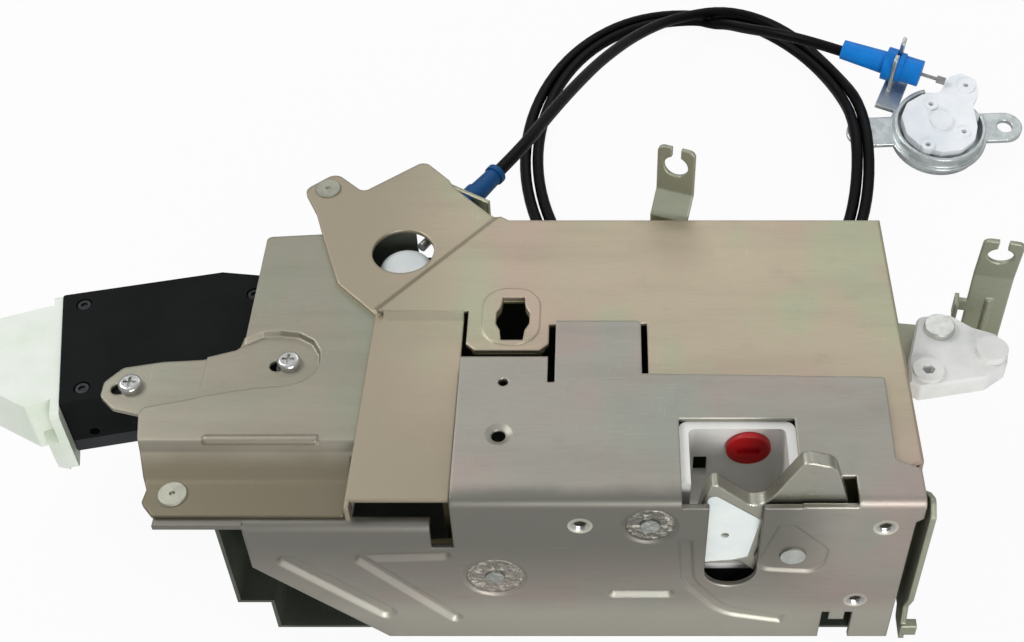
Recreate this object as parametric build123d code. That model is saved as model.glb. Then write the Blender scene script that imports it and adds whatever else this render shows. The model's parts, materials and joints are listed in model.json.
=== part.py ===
from build123d import *
import math
import os

# Frame: millimetres, origin at threaded hole A on the shut face, +X along the face,
# +Y into the body, +Z up

# Running clearances
RUN = 0.05
FREE = 0.4

# Sheet thicknesses
LATCH_T = 1.8
COVER_T = 1.5
SIDE_T = 1.5
CASE_T = 1.2

# Latch plate: a top sheet and a shut face joined by one bend
TOP_Z = 12.0
FACE_BOTTOM = -64.3
FACE_LEFT = -39.8
FACE_RIGHT = 103.5
BEND_R = 3.0
TOP_DEPTH = 50.5
TOP_LEFT_DEPTH = 59.4
SHOULDER_Y = 13.0
SHOULDER_IN = 5.2
TAB_LEFT = -8.6
TAB_RIGHT = 19.9
TAB_DEPTH = 75.6
RELIEF_W = 2.4
RELIEF_Y = 48.3

# Left extension of the shut face, one step lower
EXT_TOP = -1.0
EXT_LEFT = -105.0
EXT_RIGHT = -46.8
SHELF_LEFT = -132.8
SHELF_DEPTH = 13.0
SHELF_END = -71.0
RIVET_SHELF_DEPTH = 17.0
SLOT_BOTTOM = -12.0

# Mouth and window for the striker
MOUTH_X = 48.0
MOUTH_W = 16.8
MOUTH_BOTTOM = -33.5
WINDOW_LEFT = 31.2
WINDOW_RIGHT = 68.2
WINDOW_DEPTH = 33.2
HUMP_RIGHT = 85.2
HUMP_DEPTH = 10.4

# Threaded holes of the shut face, M6
THREAD_D = 5.0
COLLAR_D = 9.0
COLLAR_L = 4.0
HOLES = {"a": (0.0, 0.0), "b": (94.7, -1.0), "c": (90.2, -41.8)}

# Pressed ribs and dishes
PRESS_DEPTH = 0.9
RIB_DEPTH = 1.4
PRESS_SLOPE = 50
RIB_W = 7.0

# Rotary claw, its keeper and their pins
CLAW_PIN = (67.4, -16.9)
CLAW_PIN_D = 10.0
CLAW_Y = LATCH_T + PRESS_DEPTH + 0.1
CLAW_T = 5.0
SKIN_T = 0.8
KEEPER_Y = CLAW_Y + CLAW_T + 0.3
KEEPER_T = 2.5
KEEPER_PIN = (21.7, -0.5)
KEEPER_PIN_D = 8.0
LEVER_PIN = (-27.7, -28.8)
LEVER_PIN_D = 8.0
PINS = [(CLAW_PIN, CLAW_PIN_D), (KEEPER_PIN, KEEPER_PIN_D), (LEVER_PIN, LEVER_PIN_D)]
PIN_STEP = 2.0
PIN_END_STEP = 3.0

# Backing plate behind the claw
BACK_Y = 14.0
BACK_T = 2.0

# White striker liner
LINER_WALL = 3.0
LINER_BOTTOM = -36.0
BUTTON = (53.8, 1.7)
BUTTON_D = 14.5
BUTTON_STEM_D = 8.0
BUTTON_PROUD = 2.0
BUTTON_STEM_L = 9.0

# Cover plate
COVER_Z = TOP_Z - LATCH_T
COVER_RIGHT = 107.6
COVER_BACK = 127.7
JOGGLE = 2.2
STRIP_LEFT = -72.3
STRIP_FRONT = 4.1
STRIP_SLOT_RIGHT = -38.6
COVER_EDGE_R = 1.4
FOLD_Y = 82.0
CAM_AXIS = (-64.0, 113.2)
CAM_HOLE_D = 22.0
WALL_BOTTOM = FACE_BOTTOM

# Side plate, the lower front zone and the raised rear zone
SIDE_Z = COVER_Z - JOGGLE - COVER_T
SIDE_FRONT_Z = EXT_TOP + SIDE_T
SIDE_FLAT_Y = 16.5
SIDE_SLOPE_Z = 4.0
SIDE_STEP_Y = 26.0
SIDE_STEP_RUN = 2.6
SEAT_Z = 4.3

# Rivets of the side plate and of the cover's tab
RIVET_D = 5.0
RIVET_HEAD_H = 0.7
RIVET_FRONT = (-128.0, 11.6)
RIVET_TAB = (-94.7, 146.1)

# Dark lower casing
CASE_BOTTOM = -61.5
CASE_LEFT = -114.0
CASE_STEP_X = -103.0
CASE_STEP_Z = -46.0
CASE_BACK = COVER_BACK - COVER_T
CASE_RIGHT = 102.0

# Motor module, turned in plan
MODULE_CORNER = (-172.3, 47.0)
MODULE_TURN = 12.0
MODULE_L = 71.0
MODULE_W = 51.6
MODULE_TOP = 2.0
MODULE_H = 25.0
MODULE_WALL = 2.4

# Coiled cable, its near end and the hump where it crosses the key unit's ear
CABLE_D = 5.0
TABLE = FACE_BOTTOM
COIL_CENTRE = (49.7, 246.0)
COIL_RX = 79.0
COIL_RY = 112.0
COIL_W = 16.0
COIL_H = 10.2
HUMP_LIFT = 12.8
HUMP_Y = (205.0, 240.0, 268.0, 303.0)
NEAR_CLIP = (-42.8, 146.5)
NEAR_Z = 2.0
NEAR_TURN = 58.0
NEAR_D = 8.8
NEAR_BACK = 4.6
NEAR_BODY_L = 9.0
NEAR_TAIL_L = 14.0
NEAR_GROOVE = 3.9
WIRE_D = 1.6
WIRE_BORE_D = 2.4
CLIP_SHEET = 1.5

# Remote key lever unit at the cable's far end, in its own tilted frame
KEY_AXIS = (157.2, 256.0)
KEY_TILT = 12.0
KEY_LIFT = 8.3
KEY_CENTRE = (1.5, -1.2)
KEY_RING_D = 41.0
KEY_RING_T = 1.6
KEY_RING_LOW = -3.6
KEY_RING_TOP = 7.0
EAR_SPACING = 64.0
EAR_TURN = 2.7
EAR_W = 15.5
EAR_HOLE_D = 7.0
KEY_T = 2.0
KEY_PIN_D = 6.0
GAP_FROM = 15.0
GAP_TO = 104.0
KEY_LEVER_Z = 4.6
KEY_LEVER_T = 4.2
FAR_END = (-5.0, 25.0)
FAR_Z = 10.4
FAR_TURN = -23.1
FAR_L = 37.4
FAR_BODY_D = 12.0
FAR_COLLAR_D = 15.0
FAR_GROOVE = (-12.5, -10.6)


def flat(points):
    """A flat outline that faces up whichever way round its points run."""
    pairs = zip(points, points[1:] + points[:1])
    area = sum(a[0] * b[1] - b[0] * a[1] for a, b in pairs)
    return Polygon(*(points if area > 0 else points[::-1]), align=None)


def slab_z(points, z0, z1):
    return extrude(Plane.XY.offset(z0) * flat(points), amount=z1 - z0)


def slab_y(points, y0, y1):
    return extrude(Plane.XZ.offset(-y0) * flat(points), amount=y0 - y1)


def slab_x(points, x0, x1):
    return extrude(Plane.YZ.offset(x0) * flat(points), amount=x1 - x0)


def block(x0, x1, y0, y1, z0, z1):
    size = (x1 - x0, y1 - y0, z1 - z0)
    return Pos((x0 + x1) / 2, (y0 + y1) / 2, (z0 + z1) / 2) * Box(*size)


def rod_x(y, z, d, x0, x1):
    return Pos((x0 + x1) / 2, y, z) * Rot(0, 90, 0) * Cylinder(d / 2, x1 - x0)


def rod_y(x, z, d, y0, y1):
    return Pos(x, (y0 + y1) / 2, z) * Rot(90, 0, 0) * Cylinder(d / 2, y1 - y0)


def rod_z(x, y, d, z0, z1):
    return Pos(x, y, (z0 + z1) / 2) * Cylinder(d / 2, z1 - z0)


def rounded(points, radii):
    """A flat outline whose named corners are rounded."""
    face = flat(points)
    for (x, y), radius in radii.items():
        near = face.vertices().sort_by_distance(Vector(x, y, 0))[0]
        face = fillet(near, radius)
    return face


def plate_z(points, radii, z0, z1):
    return extrude(Plane.XY.offset(z0) * rounded(points, radii), amount=z1 - z0)


def plate_y(points, radii, y0, y1):
    return extrude(Plane.XZ.offset(-y0) * rounded(points, radii), amount=y0 - y1)


def plate_x(points, radii, x0, x1):
    return extrude(Plane.YZ.offset(x0) * rounded(points, radii), amount=x1 - x0)


def polar(centre, radius, angle):
    """A point round a centre, the angle in degrees."""
    turn = math.radians(angle)
    return centre[0] + radius * math.cos(turn), centre[1] + radius * math.sin(turn)


def one(shape):
    """The largest solid of a shape, for cuts that leave a crumb."""
    return shape.solids().sort_by(SortBy.VOLUME)[-1]


# Pressed forms of the shut face
def dished(plate, sketch, grown, depth=PRESS_DEPTH):
    """Presses an outline into the shut face: a recess outside, a bump inside."""
    bump = extrude(Plane.XZ.offset(-LATCH_T) * grown, amount=-depth, taper=PRESS_SLOPE)
    recess = extrude(Plane.XZ * sketch, amount=-depth, taper=PRESS_SLOPE)
    return plate + bump - recess


def slot_sketch(x0, z0, x1, z1, width):
    length = math.hypot(x1 - x0, z1 - z0)
    turn = math.degrees(math.atan2(z1 - z0, x1 - x0))
    middle = Pos((x0 + x1) / 2, (z0 + z1) / 2)
    return middle * Rot(0, 0, turn) * SlotCenterToCenter(length, width)


def rib(plate, x0, z0, x1, z1, width=RIB_W):
    small = slot_sketch(x0, z0, x1, z1, width)
    large = slot_sketch(x0, z0, x1, z1, width + 1.6)
    return dished(plate, small, large, RIB_DEPTH)


def dish(plate, x, z, d, depth=PRESS_DEPTH):
    return dished(plate, Pos(x, z) * Circle(d / 2), Pos(x, z) * Circle(d / 2 + 0.8), depth)


FACE_OUTLINE = [
    (FACE_LEFT, TOP_Z + 1),
    (FACE_RIGHT + 5, TOP_Z + 1),
    (FACE_RIGHT + 5, 6.0),
    (FACE_RIGHT, 2.0),
    (FACE_RIGHT, FACE_BOTTOM),
    (-65.2, FACE_BOTTOM),
    (-106.2, -21.4),
    (EXT_LEFT, EXT_TOP + 1),
    (EXT_RIGHT, EXT_TOP + 1),
    (EXT_RIGHT, SLOT_BOTTOM),
    (FACE_LEFT, SLOT_BOTTOM),
]

TOP_OUTLINE = [
    (FACE_LEFT, -2),
    (FACE_RIGHT + 2.2, -2),
    (FACE_RIGHT + 2.2, SHOULDER_Y),
    (FACE_RIGHT - SHOULDER_IN, SHOULDER_Y + 4),
    (FACE_RIGHT - SHOULDER_IN + 0.8, TOP_DEPTH),
    (TAB_RIGHT, TOP_DEPTH + 1.5),
    (TAB_RIGHT, TAB_DEPTH),
    (TAB_LEFT, TAB_DEPTH),
    (TAB_LEFT, RELIEF_Y),
    (TAB_LEFT - RELIEF_W, RELIEF_Y),
    (TAB_LEFT - RELIEF_W, TOP_LEFT_DEPTH),
    (FACE_LEFT, TOP_LEFT_DEPTH),
]


def bent_sheet(x0, x1, top, bottom, depth, thick, outer):
    """A sheet bent once along X: a shelf at the top and a face hanging at Y 0."""
    profile = [
        (0, bottom), (0, top), (depth, top), (depth, top - thick),
        (thick, top - thick), (thick, bottom),
    ]
    corners = {(0, top): outer, (thick, top - thick): outer - thick}
    return plate_x(profile, corners, x0, x1)


def latch_plate():
    sheet = bent_sheet(FACE_LEFT, FACE_RIGHT + 2.2, TOP_Z, FACE_BOTTOM, TAB_DEPTH, LATCH_T, BEND_R)
    top_corners = {(TAB_RIGHT, TAB_DEPTH): 1.5, (FACE_RIGHT - 4.4, TOP_DEPTH): 1.0}
    sheet &= plate_z(TOP_OUTLINE, top_corners, FACE_BOTTOM - 1, TOP_Z + 1)
    low = bent_sheet(SHELF_LEFT, FACE_LEFT + 8, EXT_TOP, FACE_BOTTOM, SHELF_DEPTH, LATCH_T, BEND_R)
    low -= block(SHELF_LEFT - 1, EXT_LEFT, -1, SHELF_DEPTH + 1, FACE_BOTTOM - 1, EXT_TOP - LATCH_T)
    low -= block(EXT_RIGHT, FACE_LEFT + 9, -1, SHELF_DEPTH + 1, SLOT_BOTTOM, EXT_TOP + 1)
    low -= block(SHELF_END, EXT_RIGHT + 1, 4.2, SHELF_DEPTH + 1, EXT_TOP - LATCH_T - 1, EXT_TOP + 1)
    shelf = block(SHELF_LEFT, EXT_LEFT, 0.6, RIVET_SHELF_DEPTH, EXT_TOP - LATCH_T, EXT_TOP)
    face_corners = {
        (EXT_RIGHT, SLOT_BOTTOM): 3.2,
        (FACE_LEFT, SLOT_BOTTOM): 3.2,
        (-106.2, -21.4): 4.0,
    }
    face = plate_y(FACE_OUTLINE, face_corners, -1, TAB_DEPTH + 1)
    plate = (sheet + low) & face
    plate += shelf
    plate -= mouth_cut()
    plate = pressed_face(plate)
    plate = face_holes(plate)
    return one(plate)


def mouth_cut():
    half = MOUTH_W / 2
    mouth = block(MOUTH_X - half, MOUTH_X + half, -3, 6, MOUTH_BOTTOM + half, TOP_Z + 2)
    mouth += rod_y(MOUTH_X, MOUTH_BOTTOM + half, MOUTH_W, -3, 6)
    window = block(WINDOW_LEFT, WINDOW_RIGHT, -3, WINDOW_DEPTH, TOP_Z - BEND_R, TOP_Z + 2)
    hump = block(MOUTH_X, HUMP_RIGHT, -3, HUMP_DEPTH, TOP_Z - 2.6, TOP_Z + 2)
    return mouth + window + hump


def pressed_face(plate):
    plate = rib(plate, -93.5, -19.6, -64.8, -49.5)
    plate = triangle_rib(plate)
    plate = rib(plate, 11.0, -38.0, 28.5, -38.0, 4.6)
    plate = dish(plate, *KEEPER_PIN, 18.0, 0.7)
    plate = dish(plate, *LEVER_PIN, 21.0, 0.7)
    plate = claw_dish(plate)
    plate = mouth_rib(plate)
    return plate


def triangle_rib(plate):
    """The stiffening rib beside the lever pin: a sloping leg and a level leg."""
    plate = rib(plate, -69.5, -19.0, -42.0, -52.5, 5.2)
    return rib(plate, -69.5, -17.5, -43.0, -16.4, 4.6)


def claw_dish(plate):
    x, z = CLAW_PIN
    corners = [(x - 12.5, z - 7.5), (x + 10.5, z - 9.5), (x + 11.5, z + 4), (x - 1, z + 17.5), (x - 6, z + 17)]
    small = rounded(corners, {corners[0]: 5, corners[1]: 6, corners[2]: 5, corners[3]: 2})
    return dished(plate, small, offset(small, 0.8), 0.8)


def mouth_rib(plate):
    """The curved bead that runs round under the mouth."""
    path = FilletPolyline((33.0, -8.0), (34.5, -31.0), (47.0, -48.5), (67.5, -53.5), radius=16)
    return dished(plate, trace(path, 5.0), trace(path, 6.6))


def face_holes(plate):
    for x, z in HOLES.values():
        plate += rod_y(x, z, COLLAR_D, LATCH_T - 0.1, LATCH_T + COLLAR_L)
        plate -= rod_y(x, z, THREAD_D, -1, LATCH_T + COLLAR_L + 1)
    for (x, z), d in PINS:
        plate -= rod_y(x, z, d - PIN_STEP, -1, 5)
    plate -= rod_z(*RIVET_FRONT, RIVET_D + 2 * RUN, -5, 1)
    plate -= block(80.0, 90.2, -1, 5, FACE_BOTTOM - 1, -49.0)
    plate += block(82.6, 87.6, 0, LATCH_T, -53.5, -48.5)
    plate -= rod_z(-25.3, 48.3, 3.4, 5, 15)
    plate -= rod_z(-25.9, 26.7, 4.6, 5, 15)
    plate -= Pos(-25.9, 26.7, TOP_Z - 0.5) * Cone(2.3, 4.6, 1.2)
    return plate


# Pins, riveted over on the outside of the shut face
def stepped_pin(centre, d, shoulder):
    x, z = centre
    pin = rod_y(x, z, d - PIN_STEP - 2 * RUN, 0.0, shoulder)
    pin += rod_y(x, z, d - 2 * RUN, shoulder - 0.1, BACK_Y)
    pin += rod_y(x, z, d - PIN_END_STEP, BACK_Y - 0.01, BACK_Y + BACK_T + 1.5)
    return one(pin)


def claw_pin():
    return stepped_pin(CLAW_PIN, CLAW_PIN_D, CLAW_Y)


def keeper_pin():
    return stepped_pin(KEEPER_PIN, KEEPER_PIN_D, KEEPER_Y)


def lever_pin():
    return stepped_pin(LEVER_PIN, LEVER_PIN_D, KEEPER_Y)


# The outline of the claw, from angles and radii round its pin
CLAW_POINTS = [
    (44.6, 127.6), (38.6, 141.0), (33.0, 164.0), (31.0, 195.0), (17.8, 199.5), (16.5, 226.0),
    (14.0, 262.0), (13.6, 305.0), (14.4, 350.0), (29.9, 60.5), (43.5, 77.2), (45.3, 90.3), (30.6, 104.3),
]
SLOT_ROOT = (24.5, 120.5)


def claw_outline():
    points = [polar(CLAW_PIN, radius, angle) for radius, angle in CLAW_POINTS]
    root = polar(CLAW_PIN, *SLOT_ROOT)
    points.append(root)
    corners = {
        points[0]: 1.6, points[1]: 6, points[2]: 12, points[3]: 3, points[4]: 4,
        points[9]: 6, points[10]: 5, points[11]: 3, root: 4.5,
    }
    return points, corners


def claw():
    points, corners = claw_outline()
    body = plate_y(points, corners, CLAW_Y, CLAW_Y + CLAW_T)
    x, z = CLAW_PIN
    body += rod_y(x, z, CLAW_PIN_D + 8, CLAW_Y + CLAW_T - 0.1, BACK_Y - FREE)
    body -= rod_y(x, z, CLAW_PIN_D, 0, BACK_Y + 1)
    body -= claw_skin_zone()
    return one(body)


def claw_skin_zone():
    """The part of the claw's front that its plastic coat covers."""
    jaw = [polar(CLAW_PIN, r, a) for r, a in ((40.5, 132.5), (36.6, 143), (31.2, 164), (29.2, 193), (19.5, 196.5), (14.5, 195), (19.6, 125))]
    corners = {jaw[0]: 2, jaw[2]: 10, jaw[3]: 2, jaw[6]: 2}
    return plate_y(jaw, corners, CLAW_Y - 0.01, CLAW_Y + SKIN_T)


def claw_skin():
    skin = claw_skin_zone() & block(0, 90, CLAW_Y, CLAW_Y + SKIN_T, -60, 40)
    skin -= rod_y(45.5, -9.0, 2.6, 0, 20)
    return one(skin)


def coil_spring(centre, inner_d, wire_d, turns, y0):
    """A torsion spring drawn as a stack of rings, one ring for each turn."""
    x, z = centre
    pitch = wire_d + 0.02
    wind = None
    for turn in range(turns):
        ring = rod_y(x, z, inner_d + 2 * wire_d, y0 + turn * pitch, y0 + (turn + 1) * pitch)
        ring = chamfer(ring.edges().filter_by(GeomType.CIRCLE), wire_d * 0.28)
        wind = ring if wind is None else wind + ring
    return wind - rod_y(x, z, inner_d, y0 - 1, y0 + turns * pitch + 1)


def claw_spring():
    spring = coil_spring(CLAW_PIN, CLAW_PIN_D + 9.0, 1.4, 3, CLAW_Y + CLAW_T + 0.5)
    x, z = CLAW_PIN
    y = CLAW_Y + CLAW_T + 1.2
    arm = block(x + 9.6, x + 10.8, y - 0.6, y + 0.6, z, z + 16)
    stay = block(x - 4, x + 2, y - 0.6, y + 0.6, z - 11.0, z - 9.6)
    return one(spring + arm + stay)


# Keeper that holds the closed claw
def keeper():
    x, z = KEEPER_PIN
    points = [
        (x - 8, z + 5), (x + 3, z + 7), (x + 8, z + 1), (x + 4.6, z - 9), (x - 3.2, z - 17.5),
        (x - 9.0, z - 16.0), (x - 7.5, z - 8), (x - 15.5, z - 9.5), (x - 16.5, z - 3),
    ]
    corners = {points[0]: 4, points[1]: 4, points[2]: 4, points[4]: 1.5, points[5]: 2, points[7]: 2, points[8]: 2}
    body = plate_y(points, corners, KEEPER_Y, KEEPER_Y + KEEPER_T)
    body += rod_y(x, z, KEEPER_PIN_D + 5, KEEPER_Y + KEEPER_T - 0.1, BACK_Y - FREE)
    body += block(x - 5.0, x, CLAW_Y + 0.1, KEEPER_Y + 0.1, z - 15.5, z - 10.5)
    body -= rod_y(x, z, KEEPER_PIN_D, 0, BACK_Y + 1)
    return one(body)


def keeper_spring():
    y = KEEPER_Y + KEEPER_T + 0.2
    x, z = KEEPER_PIN
    spring = coil_spring(KEEPER_PIN, KEEPER_PIN_D + 6.0, 1.2, 2, y)
    arm = block(x - 18, x, y + 0.2, y + 1.2, z + 7.1, z + 8.1)
    return one(spring + arm)


# Release lever on the left pin: it pushes the keeper's tail
def release_lever():
    x, z = LEVER_PIN
    points = [
        (x - 7, z + 8), (x + 6, z + 9), (x + 12, z + 17), (x + 35.5, z + 17.5), (x + 35.5, z + 12.5),
        (x + 10, z - 4), (x + 3, z - 24), (x - 6, z - 24), (x - 8, z - 6), (x - 34, z - 3), (x - 34, z + 5),
    ]
    corners = {p: 2.5 for p in (points[0], points[3], points[6], points[7], points[9], points[10])}
    body = plate_y(points, corners, KEEPER_Y, KEEPER_Y + KEEPER_T)
    body += rod_y(x, z, LEVER_PIN_D + 5, KEEPER_Y + KEEPER_T - 0.1, BACK_Y - FREE)
    body -= rod_y(x, z, LEVER_PIN_D, 0, BACK_Y + 1)
    return one(body)


def backing_plate():
    outline = [
        (-44, -44), (98, -44), (98, 7.5), (76, 7.5), (76, 2), (72, -2), (72, -40),
        (28, -40), (28, 7.5), (-36, 7.5), (-40, -2), (-44, -6),
    ]
    plate = plate_y(outline, {(-44, -44): 4, (98, -44): 4}, BACK_Y, BACK_Y + BACK_T)
    for (x, z), d in PINS:
        plate += rod_y(x, z, d + 8, BACK_Y, BACK_Y + BACK_T)
        plate -= rod_y(x, z, d - PIN_END_STEP + 2 * RUN, BACK_Y - 1, BACK_Y + BACK_T + 1)
    plate += block(98 - LATCH_T, 98, LATCH_T, BACK_Y + BACK_T, -30, -10)
    plate += block(-8, 12, LATCH_T, BACK_Y + BACK_T, -44, -44 + BACK_T)
    return one(plate)


# White liner round the striker
def striker_liner():
    front = BACK_Y - 5.4
    outer = block(WINDOW_LEFT, WINDOW_RIGHT, front, WINDOW_DEPTH, LINER_BOTTOM, TOP_Z - LATCH_T)
    outer = fillet(outer.edges().filter_by(Axis.Z).sort_by(Axis.Y)[-2:], 3)
    floor = LINER_BOTTOM + LINER_WALL
    room = block(
        WINDOW_LEFT + LINER_WALL, WINDOW_RIGHT - LINER_WALL, front - 1, WINDOW_DEPTH - LINER_WALL,
        floor, TOP_Z,
    )
    room = fillet(room.edges().filter_by(Axis.Z).sort_by(Axis.Y)[-2:], 2)
    liner = outer - room
    x, z = BUTTON
    liner -= rod_y(x, z, BUTTON_STEM_D, WINDOW_DEPTH - LINER_WALL - 1, WINDOW_DEPTH + 1)
    liner -= block(36.5, 41.0, WINDOW_DEPTH - LINER_WALL - 1, WINDOW_DEPTH + 1, -14, -4)
    liner -= rod_y(*CLAW_PIN, CLAW_PIN_D + 8 + 2 * FREE, 0, BACK_Y + BACK_T + 3)
    liner -= backing_cut()
    return one(liner)


def backing_cut():
    x, z = CLAW_PIN
    return block(x - 10, x + 10, BACK_Y - 6, BACK_Y + BACK_T + 2, z - 11, z + 11)


def lock_button():
    x, z = BUTTON
    face = WINDOW_DEPTH - LINER_WALL - FREE / 2
    button = rod_y(x, z, BUTTON_D, face - BUTTON_PROUD, face)
    rim = button.faces().sort_by(Axis.Y)[0].edges()
    button = fillet(rim, 0.7)
    button += rod_y(x, z, BUTTON_STEM_D - 2 * RUN, face - 0.5, face + BUTTON_STEM_L)
    button -= block(x - 3.6, x + 3.6, face - 5, face - 0.6, z - 1.5, z + 1.5)
    button += rod_y(x, z, BUTTON_STEM_D + 5, WINDOW_DEPTH + FREE / 2, WINDOW_DEPTH + 2.2)
    return one(button)


def stop_buffer():
    half = MOUTH_W / 2
    buffer = block(MOUTH_X - half, MOUTH_X + half, BACK_Y - 5.0, BACK_Y, MOUTH_BOTTOM - 10.2, MOUTH_BOTTOM - 2.8)
    return fillet(buffer.edges().filter_by(Axis.Y), 2.0)


# Cover plate
MAIN_OUTLINE = [
    (STRIP_LEFT + 2.5, FOLD_Y), (-30.0, 129.0), (-28.0, COVER_BACK), (COVER_RIGHT, COVER_BACK), (COVER_RIGHT, 18.0),
    (96.0, 12.0), (88.5, 12.0), (88.5, 36.5), (27.5, 36.5), (27.5, 44.5), (STRIP_SLOT_RIGHT, 44.5), (STRIP_SLOT_RIGHT, FOLD_Y),
]
TAB_OUTLINE = [
    (-103.5, 145.6), (-92.8, 155.1), (-81.6, 144.5), (-60.1, 161.9), (-50.0, 150.9), (-48.2, 147.0),
    (-34.6, 132.8), (-30.0, 129.0), (STRIP_LEFT + 3.2, FOLD_Y - 1.5), (-85.5, 97.3), (-93.2, 119.9), (-97.4, 133.1),
]
STRIP_OUTLINE = [
    (STRIP_LEFT + 1.5, FOLD_Y), (-40.2, FOLD_Y), (-40.2, STRIP_FRONT), (STRIP_LEFT, STRIP_FRONT),
]


def cover_plate():
    low = COVER_Z - JOGGLE
    main = slab_z(MAIN_OUTLINE, COVER_Z - COVER_T, COVER_Z)
    tab_corners = {
        TAB_OUTLINE[0]: 4, TAB_OUTLINE[1]: 4, TAB_OUTLINE[2]: 3, TAB_OUTLINE[3]: 3.5, TAB_OUTLINE[9]: 8,
        TAB_OUTLINE[10]: 8, TAB_OUTLINE[11]: 4,
    }
    tab = plate_z(TAB_OUTLINE, tab_corners, low - COVER_T, low)
    strip = slab_z(STRIP_OUTLINE, low - COVER_T, low)
    plate = main + tab + strip + joggle_fills() + cover_walls()
    plate -= rod_z(*CAM_AXIS, CAM_HOLE_D, 0, 20)
    plate -= rod_z(*RIVET_TAB, RIVET_D + 2 * RUN, 0, 20)
    plate -= block(TAB_RIGHT - 0.2, TAB_RIGHT + 2.2, 53, TAB_DEPTH + 0.6, 5, 20)
    plate -= tongue_gap()
    plate += tongue_arch()
    plate += block(STRIP_LEFT, STRIP_LEFT + COVER_T, 1.0, STRIP_FRONT + 2, SIDE_FRONT_Z + 0.7, low - 0.1)
    plate -= key_slot()
    return one(rounded_rim(plate))


def rounded_rim(plate):
    """Rounds the bends between the cover's top and its right and back walls."""
    rim = []
    for edge in plate.edges():
        at = edge.center()
        on_right = abs(at.X - COVER_RIGHT) < 0.1 and edge.length > 50
        on_back = abs(at.Y - COVER_BACK) < 0.1 and edge.length > 50
        if abs(at.Z - COVER_Z) < 0.1 and (on_right or on_back):
            rim.append(edge)
    return fillet(rim, COVER_EDGE_R)


def joggle_fills():
    """The sloped bends between the raised cover and its lower tab and strip."""
    low = COVER_Z - JOGGLE
    run = 3.0
    diagonal = math.atan2(129.0 - FOLD_Y, -30.0 - (STRIP_LEFT + 2.5))
    length = math.hypot(129.0 - FOLD_Y, -30.0 - (STRIP_LEFT + 2.5))
    profile = [(-run, low - COVER_T), (-run, low), (0.4, COVER_Z), (1.2, COVER_Z), (1.2, COVER_Z - COVER_T), (-0.4, low - COVER_T)]
    bend = slab_x(profile, 1.0, length)
    place = Pos(STRIP_LEFT + 2.5, FOLD_Y, 0) * Rot(0, 0, math.degrees(diagonal))
    sloped = place * mirror(bend, about=Plane.XZ)
    front = [(FOLD_Y - 3, low - COVER_T), (FOLD_Y - 3, low), (FOLD_Y + 0.4, COVER_Z), (FOLD_Y + 1.2, COVER_Z),
             (FOLD_Y + 1.2, COVER_Z - COVER_T), (FOLD_Y - 0.4, low - COVER_T)]
    level = slab_x(front, STRIP_LEFT + 4.5, -40.2)
    return sloped + level


def cover_walls():
    back = block(-28, COVER_RIGHT, COVER_BACK - COVER_T, COVER_BACK, WALL_BOTTOM, COVER_Z)
    right = block(COVER_RIGHT - COVER_T, COVER_RIGHT, 18.0, COVER_BACK, CASE_BOTTOM, COVER_Z)
    return back + right


KEY_HOLE = (-23.4, 78.0)
KEY_HOLE_HALF = [(3.7, -10), (4.2, -5.5), (5.7, -2.5), (5.7, 2.5), (4.2, 5.5), (3.7, 10)]
TONGUE_FRONT = 63.9
TONGUE_CORNER = 3.0


def key_slot():
    """The barrel-shaped opening in the round-cornered tongue."""
    x, y = KEY_HOLE
    right = [(x + dx, y + dy) for dx, dy in KEY_HOLE_HALF]
    left = [(x - dx, y + dy) for dx, dy in reversed(KEY_HOLE_HALF)]
    return slab_z(right + left, 0, 20)


def tongue_gap():
    """The gap round the tongue: in front of it, and on its right beside the latch tab."""
    left, right = STRIP_SLOT_RIGHT - 1, TAB_LEFT - RELIEF_W
    points = [
        (left, 40), (left, TONGUE_FRONT + TONGUE_CORNER), (STRIP_SLOT_RIGHT, TONGUE_FRONT + TONGUE_CORNER),
        (STRIP_SLOT_RIGHT + TONGUE_CORNER, TONGUE_FRONT), (right - TONGUE_CORNER, TONGUE_FRONT),
        (right, TONGUE_FRONT + TONGUE_CORNER), (right, TAB_DEPTH), (TAB_LEFT, TAB_DEPTH), (TAB_LEFT, 40),
    ]
    return slab_z(points, 0, 20)


def tongue_arch():
    """The low raised arch round the key's opening."""
    x, y = KEY_HOLE
    arch = Pos(x - 0.6, y + 1.2) * RectangleRounded(19.6, 26.0, 8.5)
    return extrude(Plane.XY.offset(COVER_Z - 0.5) * arch, amount=1.0)


def key_tongue():
    """The separate doubler plate below the cover round the barrel-shaped opening."""
    outline = [(-37, TONGUE_FRONT), (-12.2, TONGUE_FRONT), (-12.2, 94), (-37, 94)]
    corners = {point: TONGUE_CORNER for point in outline}
    plate = plate_z(outline, corners, COVER_Z - COVER_T - 1.5, COVER_Z - COVER_T)
    return one(plate - key_slot())


# Side plate
SIDE_OUTLINE = [
    (-113.8, 122.0), (-93.7, 123.5), (-84.0, 104.0), (-68.0, 80.0), (-42.0, 80.0), (-42.0, 24.5), (-73.0, 24.5),
    (-73.0, 3.4), (-133.0, 3.4), (-137.2, 8.4), (-136.6, 13.4), (-138.4, 18.0), (-141.6, 29.9), (-143.6, 41.6),
    (-153.5, 44.2), (-158.6, 49.4), (-158.6, 55.6), (-153.5, 61.9), (-140.8, 64.5), (-127.5, 65.4), (-116.5, 69.2),
    (-113.8, 73.0),
]
SIDE_CORNERS = {0: 2, 1: 2, 7: 1.5, 8: 2, 9: 2, 14: 3, 15: 3, 16: 3, 17: 3, 20: 2}
CHANNEL = [
    (-165.0, 38.0), (-144.0, 38.0), (-142.0, 42.3), (-121.4, 47.4), (-107.2, 50.4), (-96.8, 51.3), (-91.5, 53.6),
    (-88.2, 57.6), (-87.0, 62.3), (-87.6, 67.0), (-90.4, 72.0), (-95.8, 75.4), (-102.5, 76.4), (-108.8, 75.9),
    (-116.0, 71.5), (-165.0, 71.5),
]
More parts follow.
